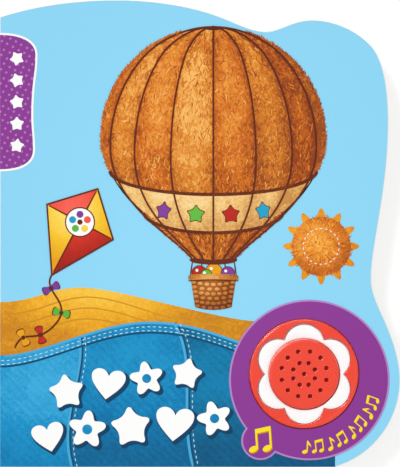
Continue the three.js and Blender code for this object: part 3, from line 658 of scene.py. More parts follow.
class Builder:
    """Collects closed forms in several finishes as one mesh, with its place in its vertices."""

    def __init__(self, name: str, finishes: Sequence[Finish] = ()) -> None:
        """Start an empty mesh.

        Args:
            name: the piece's name.
            finishes: its first material slots.
        """
        self.name = name
        self.finishes: list[Finish] = list(finishes)
        self.bm = bmesh.new()
        self.uv = self.bm.loops.layers.uv.new("flow")

    def slot(self, finish: Finish) -> int:
        """The material slot of a finish, added at its first use.

        Args:
            finish: the finish.

        Returns:
            The slot's number.
        """
        if finish not in self.finishes:
            self.finishes.append(finish)
        return self.finishes.index(finish)

    def bridge(self, below: list, above: list, slot: int) -> None:
        """Join two rings of vertices with a band of faces.

        Args:
            below: the first ring.
            above: the second ring, with as many vertices.
            slot: the material slot.
        """
        count = len(below)
        for i in range(count):
            j = (i + 1) % count
            self.bm.faces.new((below[i], below[j], above[j], above[i])).material_index = slot

    def cap(self, rings: list[list], slot: int) -> None:
        """Fill a flat outline and leave its holes open.

        Args:
            rings: the outline's vertices, and then each hole's.
            slot: the material slot.
        """
        flat = [vertex for ring in rings for vertex in ring]
        for triangle in tessellate_polygon([[vertex.co for vertex in ring] for ring in rings]):
            corners = [flat[i] for i in triangle]
            if len(set(corners)) == 3 and self.bm.faces.get(corners) is None:
                self.bm.faces.new(corners).material_index = slot

    def slab(
        self,
        outer: Loop,
        low: float,
        high: float,
        top: Finish,
        edge: Finish | None = None,
        bottom: Finish | None = None,
        holes: Sequence[Loop] = (),
        bevel: float = 0.0,
    ) -> None:
        """Add a flat board or plate.

        Args:
            outer: its outline.
            low: height of its underside in millimetres.
            high: height of its upper side in millimetres.
            top: finish of the upper side.
            edge: finish of the cut edges, if not the same.
            bottom: finish of the underside, if not the same.
            holes: outlines of its holes.
            bevel: how far its edges are eased.
        """
        loops = [wound(outer, True)] + [wound(hole, False) for hole in holes]
        profile = [(low, 0.0), (high, 0.0)]
        if bevel:
            soft = bevel * 0.3
            profile = [(low, bevel), (low + soft, soft), (low + bevel, 0.0)]
            profile += [(high - bevel, 0.0), (high - soft, soft), (high, bevel)]
        side = self.slot(edge or top)
        stacks = []
        for loop in loops:
            stack = [[self.bm.verts.new(place(x, y, z)) for x, y in inset(loop, shift)] for z, shift in profile]
            for below, above in zip(stack, stack[1:]):
                self.bridge(below, above, side)
            stacks.append(stack)
        self.cap([stack[-1] for stack in stacks], self.slot(top))
        self.cap([stack[0] for stack in stacks], self.slot(bottom or edge or top))

    def loft(self, rings: Sequence[Sequence[Vector]], finish: Finish, closed: bool = True) -> None:
        """Join rings of points in order.

        Args:
            rings: the rings, each with the same number of points in metres.
            finish: the finish of all faces.
            closed: whether the last ring joins the first. Otherwise both ends are filled.
        """
        made = [[self.bm.verts.new(point) for point in ring] for ring in rings]
        slot = self.slot(finish)
        for below, above in zip(made, made[1:] + (made[:1] if closed else [])):
            self.bridge(below, above, slot)
        if not closed:
            self.cap([made[0]], slot)
            self.cap([made[-1]], slot)

    def patch(self, rows: Sequence[Sequence[Point]], low: float, high: float, finish: Finish) -> None:
        """Add a thin plate from a grid of points, with a flow map across and along it.

        Args:
            rows: points of each row, from side to side.
            low: height of the underside.
            high: height of the upper side.
            finish: its finish.
        """
        slot = self.slot(finish)
        layers = [[[self.bm.verts.new(place(x, y, z)) for x, y in row] for row in rows] for z in (high, low)]
        last, width = len(rows) - 1, len(rows[0]) - 1
        for layer in layers:
            for j in range(last):
                for i in range(width):
                    corners = ((j, i), (j, i + 1), (j + 1, i + 1), (j + 1, i))
                    face = self.bm.faces.new([layer[b][a] for b, a in corners])
                    face.material_index = slot
                    for corner, (b, a) in zip(face.loops, corners):
                        corner[self.uv].uv = (a / width, b / last)
        rim = [(0, i) for i in range(width)] + [(j, width) for j in range(last)]
        rim += [(last, i) for i in range(width, 0, -1)] + [(j, 0) for j in range(last, 0, -1)]
        upper, lower = ([layer[b][a] for b, a in rim] for layer in layers)
        self.bridge(lower, upper, slot)

    def finish(
        self, body: str | None, record_slot: str, replaced: Sequence[str] = (), sharp: float = 32.0
    ) -> bpy.types.Object:
        """Make the object and give it to its body.

        Args:
            body: the body that it rides on, or nothing to leave it unattached.
            record_slot: the record's material slot. It is not used.
            replaced: the part's nodes that it stands for.
            sharp: the angle in degrees past which an edge stays sharp.

        Returns:
            The finished object.
        """
        bmesh.ops.recalc_face_normals(self.bm, faces=self.bm.faces)
        mesh = bpy.data.meshes.new(self.name)
        self.bm.to_mesh(mesh)
        self.bm.free()
        for finish in self.finishes:
            mesh.materials.append(finish.material())
        mesh.set_sharp_from_angle(angle=math.radians(sharp))
        # Level faces stay flat, or the long triangles in them would show
        level = 0.999999
        mesh.polygons.foreach_set("use_smooth", [abs(face.normal.z) < level for face in mesh.polygons])
        piece = bpy.data.objects.new(self.name, mesh)
        bpy.context.scene.collection.objects.link(piece)
        return hand_over(piece, body, replaced)


def hand_over(
    piece: bpy.types.Object, body: str | None, replaced: Sequence[str] = ()
) -> bpy.types.Object:
    """Attach a finished piece to its body and hide the part's nodes that it stands for.

    Args:
        piece: the piece.
        body: the body that it rides on, or nothing to leave it unattached.
        replaced: the part's nodes that it stands for.

    Returns:
        The piece.
    """
    if body:
        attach(piece, body)
    if replaced:
        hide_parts(*replaced)
    LOG.info("%s: %d faces on %s", piece.name, len(piece.data.polygons), body)
    return piece


@dataclass(frozen=True)
class Spot:
    """A place where a small form is repeated."""

    at: Vector
    turn: float = 0.0
    tone: float = 0.5


class Grain(Enum):
    """The small form that is repeated."""

    BEAD = "bead"
    FLAKE = "flake"


class Repeat(NodeTree):
    """A Geometry Nodes tree that sets a small rounded bead or a flat flake on each of a row of points."""

    seed: int = 7

    def __init__(self, grain: Grain) -> None:
        """Build the tree.

        Args:
            grain: the form that is repeated.
        """
        super().__init__(bpy.data.node_groups.new(f"repeat_{grain.value}", "GeometryNodeTree"))
        face = self.tree.interface
        for way in ("OUTPUT", "INPUT"):
            face.new_socket("Geometry", in_out=way, socket_type="NodeSocketGeometry")
        kinds = dict.fromkeys(("Length", "Width", "Height", "Variation"), "Float")
        kinds |= {"Seed": "Int", "Finish": "Material"}
        self.sockets = {
            name: face.new_socket(name, in_out="INPUT", socket_type=f"NodeSocket{kind}").identifier
            for name, kind in kinds.items()
        }
        inputs = self.add("NodeGroupInput").outputs
        if grain is Grain.BEAD:
            form = self.add("GeometryNodeMeshUVSphere", {"Segments": 8, "Rings": 5, "Radius": 0.5})
        else:
            form = self.add("GeometryNodeMeshCircle", {"Vertices": 6, "Radius": 0.5}, fill_type="NGON")
        size = self.add("ShaderNodeCombineXYZ", {axis: inputs[name] for axis, name in zip("XYZ", kinds)})
        sized = self.add("GeometryNodeTransform", {"Geometry": form.outputs["Mesh"], "Scale": size.outputs[0]})
        turn = self.add("GeometryNodeInputNamedAttribute", {"Name": "turn"}, data_type="FLOAT")
        euler = self.add("ShaderNodeCombineXYZ", {"Z": turn.outputs["Attribute"]})
        rotation = self.add("FunctionNodeEulerToRotation", {"Euler": euler.outputs[0]})
        least, most = (self.math(way, 1.0, inputs["Variation"]) for way in ("SUBTRACT", "ADD"))
        limits = {2: least, 3: most, "Seed": inputs["Seed"]}
        spread = self.add("FunctionNodeRandomValue", limits, data_type="FLOAT")
        placing = {
            "Points": inputs["Geometry"],
            "Instance": sized.outputs[0],
            "Rotation": rotation.outputs[0],
            "Scale": spread.outputs[1],
        }
        placed = self.add("GeometryNodeInstanceOnPoints", placing)
        real = self.add("GeometryNodeRealizeInstances", {"Geometry": placed.outputs[0]})
        dressing = {"Geometry": real.outputs[0], "Material": inputs["Finish"]}
        self.add("NodeGroupOutput", {"Geometry": self.add("GeometryNodeSetMaterial", dressing).outputs[0]})

    def scatter(
        self,
        name: str,
        spots: Sequence[Spot],
        size: tuple[float, float, float],
        finish: Finish,
        body: str,
        record_slot: str,
        variation: float = 0.0,
    ) -> None:
        """Set the form on every spot and keep the result as a plain mesh.

        Args:
            name: the piece's name.
            spots: where the forms go.
            size: length, width and height of one form in millimetres.
            finish: their finish.
            body: the body that they ride on.
            record_slot: the record's material slot. It is not used.
            variation: how much their sizes differ.
        """
        mesh = bpy.data.meshes.new(f"{name}_points")
        mesh.from_pydata([spot.at for spot in spots], [], [])
        for key in ("turn", "tone"):
            layer = mesh.attributes.new(key, "FLOAT", "POINT")
            layer.data.foreach_set("value", [getattr(spot, key) for spot in spots])
        piece = bpy.data.objects.new(name, mesh)
        bpy.context.scene.collection.objects.link(piece)
        modifier = piece.modifiers.new("repeat", "NODES")
        modifier.node_group = self.tree
        values = (*(length * MM for length in size), variation, self.seed, finish.material())
        for socket, value in zip(self.sockets.values(), values):
            modifier[socket] = value
        graph = bpy.context.evaluated_depsgraph_get()
        baked = bpy.data.meshes.new_from_object(piece.evaluated_get(graph))
        piece.modifiers.remove(modifier)
        piece.data = baked
        baked.name = name
        if not baked.materials:
            baked.materials.append(finish.material())
        baked.shade_smooth()
        hand_over(piece, body)


# Assemblies


@dataclass
class Boards:
    """The covers, the leaves, the inner board and the wrapped spine."""

    ease: float = 0.22
    glue: float = 3.5
    spine: float = 1.0
    wrap: float = 0.14
    hold: float = 0.6
    fold: float = 0.1
    trim: float = 0.3
    tab_span: Point = (122.8, 178.2)

    def build(self) -> None:
        """Build every board."""
        self.front()
        self.pages()
        self.back()
        self.spine_wrap()

    def front(self) -> None:
        """The front cover, printed above and lined below."""
        builder = Builder("front_board")
        hole = circle(BOOK.module, BOOK.cover_hole, 160)
        outline, low, high = board_outline(), BOOK.cover_base, BOOK.cover_top
        builder.slab(outline, low, high, SKY, PULP, ENDPAPER, [hole], self.ease)
        builder.finish("front_cover", "cover_board", ["front_cover"])

    def pages(self) -> None:
        """The stiff leaves, the first with a pale sky, and the strip that glues them."""
        builder = Builder("page_leaves")
        hole = circle(BOOK.module, BOOK.leaf_hole, 160)
        outline = [(max(x, self.spine), y) for x, y in board_outline()]
        outline = [point for i, point in enumerate(outline) if point != outline[i - 1]]
        lows = [BOOK.pages_base + leaf * (BOOK.leaf + BOOK.leaf_gap) for leaf in range(BOOK.leaf_count)]
        for low in lows:
            face = PAGE_SKY if low == lows[-1] else CREAM_PAGE
            builder.slab(outline, low, low + BOOK.leaf, face, PULP, CREAM_PAGE, [hole], self.ease)
        (x, width), (foot, head) = (self.spine, self.glue), (0.4, BOOK.spine_height)
        strip = [(x, foot), (width, foot), (width, head), (x, head)]
        for low in lows[:-1]:
            builder.slab(strip, low + BOOK.leaf, low + BOOK.leaf + BOOK.leaf_gap, PULP)
        builder.finish("pages", "page_board", ["page_block"])

    def back(self) -> None:
        """The back cover and the inner board that holds the module."""
        door, opening, pocket = (circle(BOOK.module, radius, 160) for radius in (21.2, 23.1, 26.4))
        outline, floor = board_outline(), BOOK.lining_top - 0.3
        builder = Builder("back_board")
        builder.slab(outline, 0.0, BOOK.board, PULP, PULP, BACK_PAPER, [door], self.ease)
        builder.finish("back_cover", "cover_board", ["back_cover"])
        lining = Builder("inner_board")
        lining.slab(outline, BOOK.board, floor, PULP, PULP, PULP, [pocket])
        lining.slab(outline, floor, BOOK.lining_top, ENDPAPER, PULP, PULP, [opening], 0.12)
        lining.finish("back_cover", "grey_board", ["back_lining"])

    def wrap_strip(self, builder: Builder, heights: Sequence[float]) -> None:
        """Add a thin strip of printed paper down the spine's outer side.

        Args:
            builder: the mesh that it goes into.
            heights: where the strip is divided from foot to top.
        """
        ends = (self.trim, *self.tab_span, BOOK.spine_height - self.trim)
        for low, high, finish in zip(ends, ends[1:], (SKY, TAB_DOTS, SKY)):
            slot = builder.slot(finish)
            corners = ((0.0, low), (0.0, high), (-self.wrap, high), (-self.wrap, low))
            rings = [[builder.bm.verts.new(place(x, y, z)) for x, y in corners] for z in heights]
            for below, above in zip(rings, rings[1:]):
                builder.bridge(below, above, slot)
            for ring in (rings[0], rings[-1]):
                builder.bm.faces.new(ring).material_index = slot

    def spine_wrap(self) -> None:
        """The spine card, and the paper that wraps it, finely divided where each cover opens."""
        card = Builder("spine_card")
        foot, head = 0.2, BOOK.spine_height - 0.2
        edge = [(0.0, foot), (self.spine, foot), (self.spine, head), (0.0, head)]
        card.slab(edge, BOOK.pages_base, BOOK.pages_top, PULP, PULP, PULP)
        low, high = BOOK.pages_base + self.hold, BOOK.pages_top - self.hold
        self.wrap_strip(card, [low, 7.0, 12.0, high])
        card.finish("pages", "cover_board", ["spine"])
        upper, lower = Builder("front_hinge_paper"), Builder("back_hinge_paper")
        self.wrap_strip(upper, [high + self.fold * i for i in range(13)] + [BOOK.cover_top - self.trim])
        piece = upper.finish(None, "cover_board")
        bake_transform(piece)
        self.wrap_strip(lower, [low - self.fold * i for i in range(13)] + [self.trim])
        piece = lower.finish(None, "cover_board")
        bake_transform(piece)


@dataclass
class PrintedSheet:
    """A sheet whose picture is built up in thin plates of ink, each a little higher than the one under it."""

    ground: float
    body: str
    step: float
    sunk: float = 0.04

    def level(self, layer: float) -> float:
        """The height of a print layer in millimetres."""
        return self.ground + self.step * layer

    def plate(self, builder: Builder, outline: Loop, layer: float, ink: Finish, holes: Sequence[Loop] = ()) -> None:
        """Add one flat field of ink.

        Args:
            builder: the mesh that it goes into.
            outline: its outline.
            layer: its print layer.
            ink: its ink.
            holes: outlines of its holes.
        """
        builder.slab(outline, self.ground - self.sunk, self.level(layer), ink, holes=holes)

    def ribbon(self, builder: Builder, path: Loop, width: float, layer: float, ink: Finish) -> None:
        """Add a drawn line with round-looking ends along a path.

        Args:
            builder: the mesh that it goes into.
            path: the line's middle.
            width: its width.
            layer: its print layer.
            ink: its ink.
        """
        left: Loop = []
        right: Loop = []
        last = len(path) - 1
        for i, here in enumerate(path):
            along = (Vector(path[min(i + 1, last)]) - Vector(path[max(i - 1, 0)])).normalized()
            taper = 0.6 if i in (0, last) else 1.0
            off = Vector((-along.y, along.x)) * width / 2 * taper
            left.append(tuple(Vector(here) + off))
            right.append(tuple(Vector(here) - off))
        self.plate(builder, left + right[::-1], layer, ink)

    def give(self, builder: Builder, record_slot: str, replaced: Sequence[str] = ()) -> None:
        """Finish a mesh of ink as one piece of the sheet's body.

        Args:
            builder: the mesh.
            record_slot: the record's material slot.
            replaced: the part's nodes that it stands for.
        """
        builder.finish(self.body, record_slot, replaced, sharp=20)


@dataclass
class CoverArt(PrintedSheet):
    """The printed picture: a plush balloon over quilted hills, a kite, a sun, stars and the sound disc."""

    ground: float = BOOK.cover_top
    body: str = "front_cover"
    step: float = 0.03
    balloon: Point = (88.0, 135.5)
    radius: float = 46.0
    mouth: Point = (9.0, 86.0)
    gores: int = 8
    band: Point = (0.2, 0.38)
    crown: float = 0.9995
    beads: Repeat = field(default_factory=lambda: Repeat(Grain.BEAD))
    flakes: Repeat = field(default_factory=lambda: Repeat(Grain.FLAKE))

    @property
    def gore_width(self) -> float:
        """How far round the envelope one gore reaches, in degrees."""
        return 180 / self.gores

    def build(self) -> None:
        """Draw every motif."""
        self.hills()
        self.balloon_envelope()
        self.basket()
        self.kite()
        self.sun()
        self.shapes()
        self.tab()
        self.disc()

    def hill_crest(self, crest: Sequence[Point], steps: int = 40) -> Loop:
        """The top line of a hill from the spine to the disc."""
        return curve(crest, steps) + [crest[-1]]

    def under_disc(self, crest: Loop, foot: float, reach: float = 30.0) -> Loop:
        """The outline under a crest that ends beneath the sound disc and clear of its hole.

        Args:
            crest: the hill's top line, from the spine.
            foot: where the outline meets the book's lower edge.
            reach: its distance from the middle of the disc.

        Returns:
            The closed outline.
        """
        shown = [point for point in crest if math.dist(point, BOOK.lobe) > reach]
        (lobe_x, lobe_y), (x, y) = BOOK.lobe, shown[-1]
        start = math.degrees(math.atan2(y - lobe_y, x - lobe_x))
        end = 360 + math.degrees(math.atan2(-math.sqrt(reach**2 - (foot - lobe_x) ** 2), foot - lobe_x))
        arc = [polar(BOOK.lobe, reach, start + (end - start) * i / 48) for i in range(1, 49)]
        return [(0.0, 0.0), *shown, *arc, (foot, 0.0)]

    def hills(self) -> None:
        """A mustard field behind quilted denim hills, with seams and stitches."""
        right, ends, clear = BOOK.bulge[0], (110.0, 138.2), 31.0
        far = self.hill_crest([(0, 68), (14, 68), (20, 74), (34, 74), (48, 74), (92, 60), (right, 60)])
        builder = Builder("print_mustard_field")
        self.plate(builder, self.under_disc(far, ends[0]), 1, MUSTARD)
        for drop in (4.5, 9.0, 13.5):
            line = [(x, y - drop - 0.9 * math.sin(x * 0.11)) for x, y in far if 1.0 < x < 94.0]
            self.ribbon(builder, line, 0.55, 1.6, MUSTARD_LINE)
        self.give(builder, "ink_yellow", ["print_far_hill"])
        near = self.hill_crest([(0, 46), (18, 46), (40, 60), (62, 60), (84, 60), (98, 50), (right, 50)])
        quilt = Builder("print_denim_hills")
        self.plate(quilt, self.under_disc(near, ends[1]), 2, DENIM)
        left_seam = curve([(33, 54.2), (36, 38), (24, 20), (30, 0)], 40) + [(30, 0)]
        right_seam = curve([(72, 59.4), (82, 44), (74, 22), (80, 0)], 40) + [(80, 0)]
        hem = [(x, y - 4.6) for x, y in near if math.dist((x, y - 4.6), BOOK.lobe) > clear]
        over_left = [point for point in near if point[0] < 33]
        self.plate(quilt, [(0, 0)] + over_left + left_seam, 2.5, DENIM_PALE)
        over_right = self.under_disc([point for point in near if point[0] > 72], ends[1])[1:]
        self.plate(quilt, over_right + right_seam[::-1], 2.5, DENIM_DEEP)
        for seam in (left_seam, right_seam):
            self.ribbon(quilt, seam, 1.9, 2.9, SEAM_DARK)
            self.ribbon(quilt, [(x - 0.35, y) for x, y in seam], 1.1, 3.3, SEAM)
        near = [point for point in near if math.dist(point, BOOK.lobe) > clear]
        self.ribbon(quilt, [(x, y - 0.5) for x, y in near if x > 0.4], 1.0, 4.2, SEAM)
        self.ribbon(quilt, hem, 0.8, 3.7, SEAM_DARK)
        self.give(quilt, "ink_blue", ["print_near_hill"])
        spots: list[Spot] = []
        rows = ((near, 0, -2.2), (near, 0, -3.8), (left_seam, 1.9, 0), (right_seam, 1.9, 0))
        for line, across, up in rows:
            spots += self.along([(x + across, y + up) for x, y in line], 2.3, 4.0)
        self.beads.scatter("print_hill_stitches", spots, (1.5, 0.42, 0.12), THREAD, self.body, "ink_blue")

    def along(self, path: Loop, pitch: float, layer: float, jitter: float = 0.0) -> list[Spot]:
        """Evenly spaced spots along a path.

        Args:
            path: the line that they follow.
            pitch: the distance between them.
            layer: the print layer that they lie on.
            jitter: how much they turn at random, in radians.

        Returns:
            The spots, each turned along the path.
        """
        source = random.Random(len(path))
        spots: list[Spot] = []
        travelled = pitch / 2
        for (ax, ay), (bx, by) in zip(path, path[1:]):
            length = math.hypot(bx - ax, by - ay)
            while travelled < length:
                share = travelled / length
                turn = math.atan2(by - ay, bx - ax) + source.uniform(-jitter, jitter)
                at = place(ax + (bx - ax) * share, ay + (by - ay) * share, self.level(layer))
                spots.append(Spot(at, turn, source.random()))
                travelled += pitch
            travelled -= length
        return spots

    def half_width(self, y: float) -> float:
        """Half the balloon's width at a height.

        Args:
            y: the height in the picture.

        Returns:
            The half width, round above the middle and drawn in to the mouth below it.
        """
        (_, centre_y), radius = self.balloon, self.radius
        if y >= centre_y:
            return math.sqrt(max(0.0, radius**2 - (y - centre_y) ** 2))
        mouth_half, mouth_y = self.mouth
        share = (y - mouth_y) / (centre_y - mouth_y)
        # Heights of the lower side's curve handles, as shares
        low_handle, high_handle = 12 / 51, 27 / 51
        low, high = 0.0, 1.0
        for _ in range(30):
            middle = (low + high) / 2
            rest = 1 - middle
            rise = 3 * rest**2 * middle * low_handle + 3 * rest * middle**2 * high_handle + middle**3
            low, high = (middle, high) if rise < share else (low, middle)
        across = ((1 - low) ** 3, 3 * low * (1 - low) ** 2, 3 * low * low * (1 - low), low**3)
        return sum(w * x for w, x in zip(across, (mouth_half, mouth_half + 7, radius, radius)))

    def envelope_point(self, degrees: float, share: float) -> Point:
        """A point of the round envelope.

        Args:
            degrees: how far round it is, from -90 at the left to 90 at the right.
            share: its height, from 0 at the mouth to 1 at the top.

        Returns:
            Its place in the picture.
        """
        (x, y), (_, mouth_y) = self.balloon, self.mouth
        height = mouth_y + (y + self.radius - mouth_y) * share
        angle = math.radians(degrees)
        droop = 9.0 * math.sin(math.pi * min(1.0, share * 1.12) ** 0.8) + 1.5 * (1 - share)
        return (x + self.half_width(height) * math.sin(angle), height - droop * math.cos(angle))

    def balloon_envelope(self) -> None:
        """The plush envelope in gores, with a cream band, dark seams and painted hair."""
        builder = Builder("print_balloon_gores")
        (low_band, high_band), width = self.band, self.gore_width
        for gore in range(self.gores):
            left = -90 + gore * width
            inks = (PLUSH_CARAMEL, PLUSH_ORANGE) if gore % 2 == 0 else (PLUSH_ORANGE, PLUSH_CARAMEL)
            zones = ((0.0, low_band, inks[0]), (low_band, high_band, PLUSH_CREAM), (high_band, self.crown, inks[1]))
            for low, high, ink in zones:
                count = max(6, int((high - low) * 60))
                shares = [low + (high - low) * math.sin(math.pi / 2 * j / count) for j in range(count + 1)]
                rows = [[self.envelope_point(left + width * i / 6, share) for i in range(7)] for share in shares]
                builder.patch(rows, self.ground - self.sunk, self.level(5), ink)
        self.give(builder, "ink_orange", ["print_balloon_crown", "print_balloon_band", "print_balloon_skirt"])
        seams = Builder("print_balloon_seams")
        shares = [math.sin(math.pi / 2 * i / 80) * self.crown for i in range(81)]
        for edge in range(1, self.gores):
            path = [self.envelope_point(-90 + edge * width, share) for share in shares]
            self.ribbon(seams, path, 0.75, 7 + 0.1 * edge, ROPE)
        for share in self.band:
            path = [self.envelope_point(-89 + 178 * i / 60, share) for i in range(61)]
            self.ribbon(seams, path, 1.3, 8.2 + share, BROWN)
        self.ribbon(seams, [self.envelope_point(-90 + 180 * i / 40, 0.0) for i in range(41)], 2.0, 9, ROPE)
        x, y = self.balloon[0], self.balloon[1] + self.radius - 0.5
        self.plate(seams, circle((x, y), 1.0, 40), 9, ROPE)
        knot = [(x + 3.6 * math.cos(a), y + 0.9 * math.sin(a)) for a in radians_round(40)]
        self.plate(seams, knot, 9.4, ROPE)
        self.give(seams, "ink_brown")
        self.band_shapes()
        self.plush_hair()

    def band_shapes(self) -> None:
        """Stars sewn on the cream band, narrower towards its ends."""
        builder = Builder("print_band_patches")
        for gore in range(2, self.gores - 2):
            middle = -90 + (gore + 0.5) * self.gore_width
            at = self.envelope_point(middle, 0.29)
            squeeze = max(0.25, math.cos(math.radians(middle)))
            star = [(x * squeeze, y) for x, y in motif_outline(Motif.STAR)]
            for layer, size, ink in ((7.5, 4.6, ROPE), (8, 4.0, (RED, TEAL, VIOLET, GREEN)[gore % 4])):
                self.plate(builder, moved(star, at, middle * 0.22, size), layer, ink)
        self.give(builder, "ink_red")

    def hair_tone(self, degrees: float, share: float, noise: float) -> float:
        """How light a painted hair is.

        Args:
            degrees: how far round the envelope it is.
            share: its height, from 0 at the mouth to 1 at the top.
            noise: its own difference.

        Returns:
            Its tone, from 0 to 1.
        """
        lit = math.cos(math.radians(degrees + 22)) * 0.55 + 0.4 * math.sin(math.pi * min(1, share * 0.95))
        across = ((degrees + 90) % self.gore_width) / self.gore_width
        return min(1.0, max(0.0, 0.05 + lit * 0.72 - 0.3 * abs(2 * across - 1) ** 2 + noise))

    def plush_hair(self) -> None:
        """Short painted strokes over the orange gores and a soft fringe round the envelope."""
        source, strokes, fringe = random.Random(41), 5200, 420
        spots: list[Spot] = []
        (low_band, high_band), (x, y) = self.band, self.balloon
        for _ in range(strokes):
            degrees = math.degrees(math.asin(source.uniform(-0.985, 0.985)))
            share = source.uniform(0.01, 0.97)
            if low_band - 0.01 < share < high_band + 0.01:
                continue
            here, ahead = (self.envelope_point(degrees, at) for at in (share, min(1.0, share + 0.01)))
            turn = math.atan2(ahead[1] - here[1], ahead[0] - here[0]) + source.gauss(0, 0.45)
            tone = self.hair_tone(degrees, share, source.gauss(0, 0.16))
            spots.append(Spot(place(*here, self.level(6) + source.uniform(0, 0.015)), turn, tone))
        for side in (-1, 1):
            for i in range(fringe):
                share = 0.02 + 0.96 * (i / fringe) ** 0.9
                if low_band < share < high_band:
                    continue
                edge = self.envelope_point(89.5 * side, share)
                away = math.atan2(edge[1] - y, edge[0] - x)
                tone = min(1.0, max(0.0, 0.3 + source.gauss(0, 0.15) + (0.12 if side < 0 else -0.08)))
                at = place(*edge, self.level(6.2) + source.uniform(0, 0.03))
                spots.append(Spot(at, away + side * 0.9 + source.gauss(0, 0.4), tone))
        self.flakes.scatter("print_balloon_hair", spots, (2.3, 0.42, 1.0), HAIR, self.body, "ink_orange", 0.35)

    def basket(self) -> None:
        """A wicker basket on dark ropes, with toy balls that look over its rim."""
        x, foot, top, half_top, half_foot = self.balloon[0], 66.0, 79.0, 9.5, 7.5
        builder = Builder("print_basket_and_ropes")
        for share in (-1.0, -0.55, 0.0, 0.55, 1.0):
            start = (x + share * self.mouth[0] * 0.95, self.mouth[1] - 1.0 - 1.2 * (1 - abs(share)))
            end = (x + share * half_top, top)
            middle = ((start[0] + end[0]) / 2, (start[1] + end[1]) / 2)
            self.ribbon(builder, [start, middle, end], 0.6, 4, ROPE)
        balls = ((-5.8, 1.0, 3.2, RED), (0.2, 1.6, 3.6, SUNNY), (6.0, 0.8, 3.0, VIOLET), (-2.9, 0.2, 2.5, GREEN))
        for i, (dx, dy, radius, ink) in enumerate(balls):
            centre = (x + dx, top + dy)
            self.plate(builder, circle(centre, radius, 40), 4.6 + 0.4 * i, ROPE)
            self.plate(builder, circle(centre, radius - 0.35, 40), 4.8 + 0.4 * i, ink)
            glint = (centre[0] - radius * 0.3, centre[1] + radius * 0.35)
            self.plate(builder, circle(glint, 0.6, 16), 7, WHITE_INK)
        body = curve([(x - half_foot, foot), (x - 3, foot - 1.6), (x + 3, foot - 1.6), (x + half_foot, foot)], 12)
        body += [(x + half_foot, foot), (x + half_top, top), (x - half_top, top)]
        self.plate(builder, body, 8, BROWN)
        left, reach = x - half_top - 0.8, 2 * half_top + 1.6
        rim = [(left + reach * i / 12, top - 0.9 + 0.4 * math.sin(i * 0.26)) for i in range(13)]
        self.ribbon(builder, rim, 2.4, 10, CARAMEL)
        self.ribbon(builder, [(px, py - 1.3) for px, py in rim], 0.45, 10.5, ROPE)
        self.give(builder, "ink_brown", ["print_basket"])
        spots: list[Spot] = []
        for row in range(6):
            y = foot + 0.4 + (top - foot - 3.2) * row / 5
            half = half_foot + (half_top - half_foot) * (y - foot) / (top - foot) - 1.0
            count = 7 if row % 2 else 6
            for column in range(count):
                offset = -half + 2 * half * column / (count - 1)
                spots.append(Spot(place(x + offset, y - 0.9 * (1 - (offset / half) ** 2), self.level(8.6))))
        self.beads.scatter("print_basket_weave", spots, (2.3, 1.5, 0.14), CARAMEL, self.body, "ink_brown")

    def kite(self) -> None:
        """A red and yellow kite with a tail of bows."""
        centre, half, up, down, tilt = (33.0, 101.0), 15.0, 15.0, 24.0, -28.0
        builder = Builder("print_kite_and_tail")
        nose, left, foot, right = (0.0, up), (-half, 0.0), (0.0, -down), (half, 0.0)
        rim = inset(wound([nose, left, foot, right], True), -0.7)
        self.plate(builder, moved(rim, centre, tilt), 8, ROPE)
        panels = ((nose, left, RED), (left, foot, SUNNY), (foot, right, RED_DEEP), (right, nose, SUNNY))
        for first, second, ink in panels:
            self.plate(builder, moved([(0.0, 0.0), first, second], centre, tilt), 9, ink)
        for ends in ((nose, foot), (left, right)):
            first, second = ((x * 0.97, y * 0.97) for x, y in ends)
            self.ribbon(builder, moved([first, (0, 0), second], centre, tilt), 0.8, 10, ROPE)
        self.plate(builder, circle(centre, 6.2, 48), 10.5, ROPE)
        self.plate(builder, circle(centre, 5.7, 48), 11, WHITE_INK)
        for i, ink in enumerate((VIOLET, TEAL, GREEN, SUNNY, RED)):
            self.plate(builder, circle(polar(centre, 3.2, 90 + 72 * i), 1.45, 24), 12, ink)
        self.plate(builder, circle(centre, 1.1, 20), 12, ROPE)
        start = moved([foot], centre, tilt)[0]
        tail = curve([start, (16, 72), (32, 68), (22, 58), (14, 50), (10, 58), (6, 49)], 24) + [(6, 49)]
        self.ribbon(builder, tail, 0.7, 6, ROPE)
        bow = rounded([(0, 0.5), (3.4, 2.2), (3.4, -2.2), (0, -0.5), (-3.4, -2.2), (-3.4, 2.2)])
        for i, ink in zip((7, 19, 30, 41), (VIOLET, GREEN, RED, SUNNY)):
            (x, y), (ahead_x, ahead_y) = tail[i], tail[i + 1]
            turn = math.degrees(math.atan2(ahead_y - y, ahead_x - x)) + 90
            self.plate(builder, moved(bow, (x, y), turn, 1.12), 6.6, ROPE)
            self.plate(builder, moved(bow, (x, y), turn), 7, ink)
            self.plate(builder, circle((x, y), 0.9, 16), 7.5, ROPE)
        self.give(builder, "ink_red", ["print_kite"])

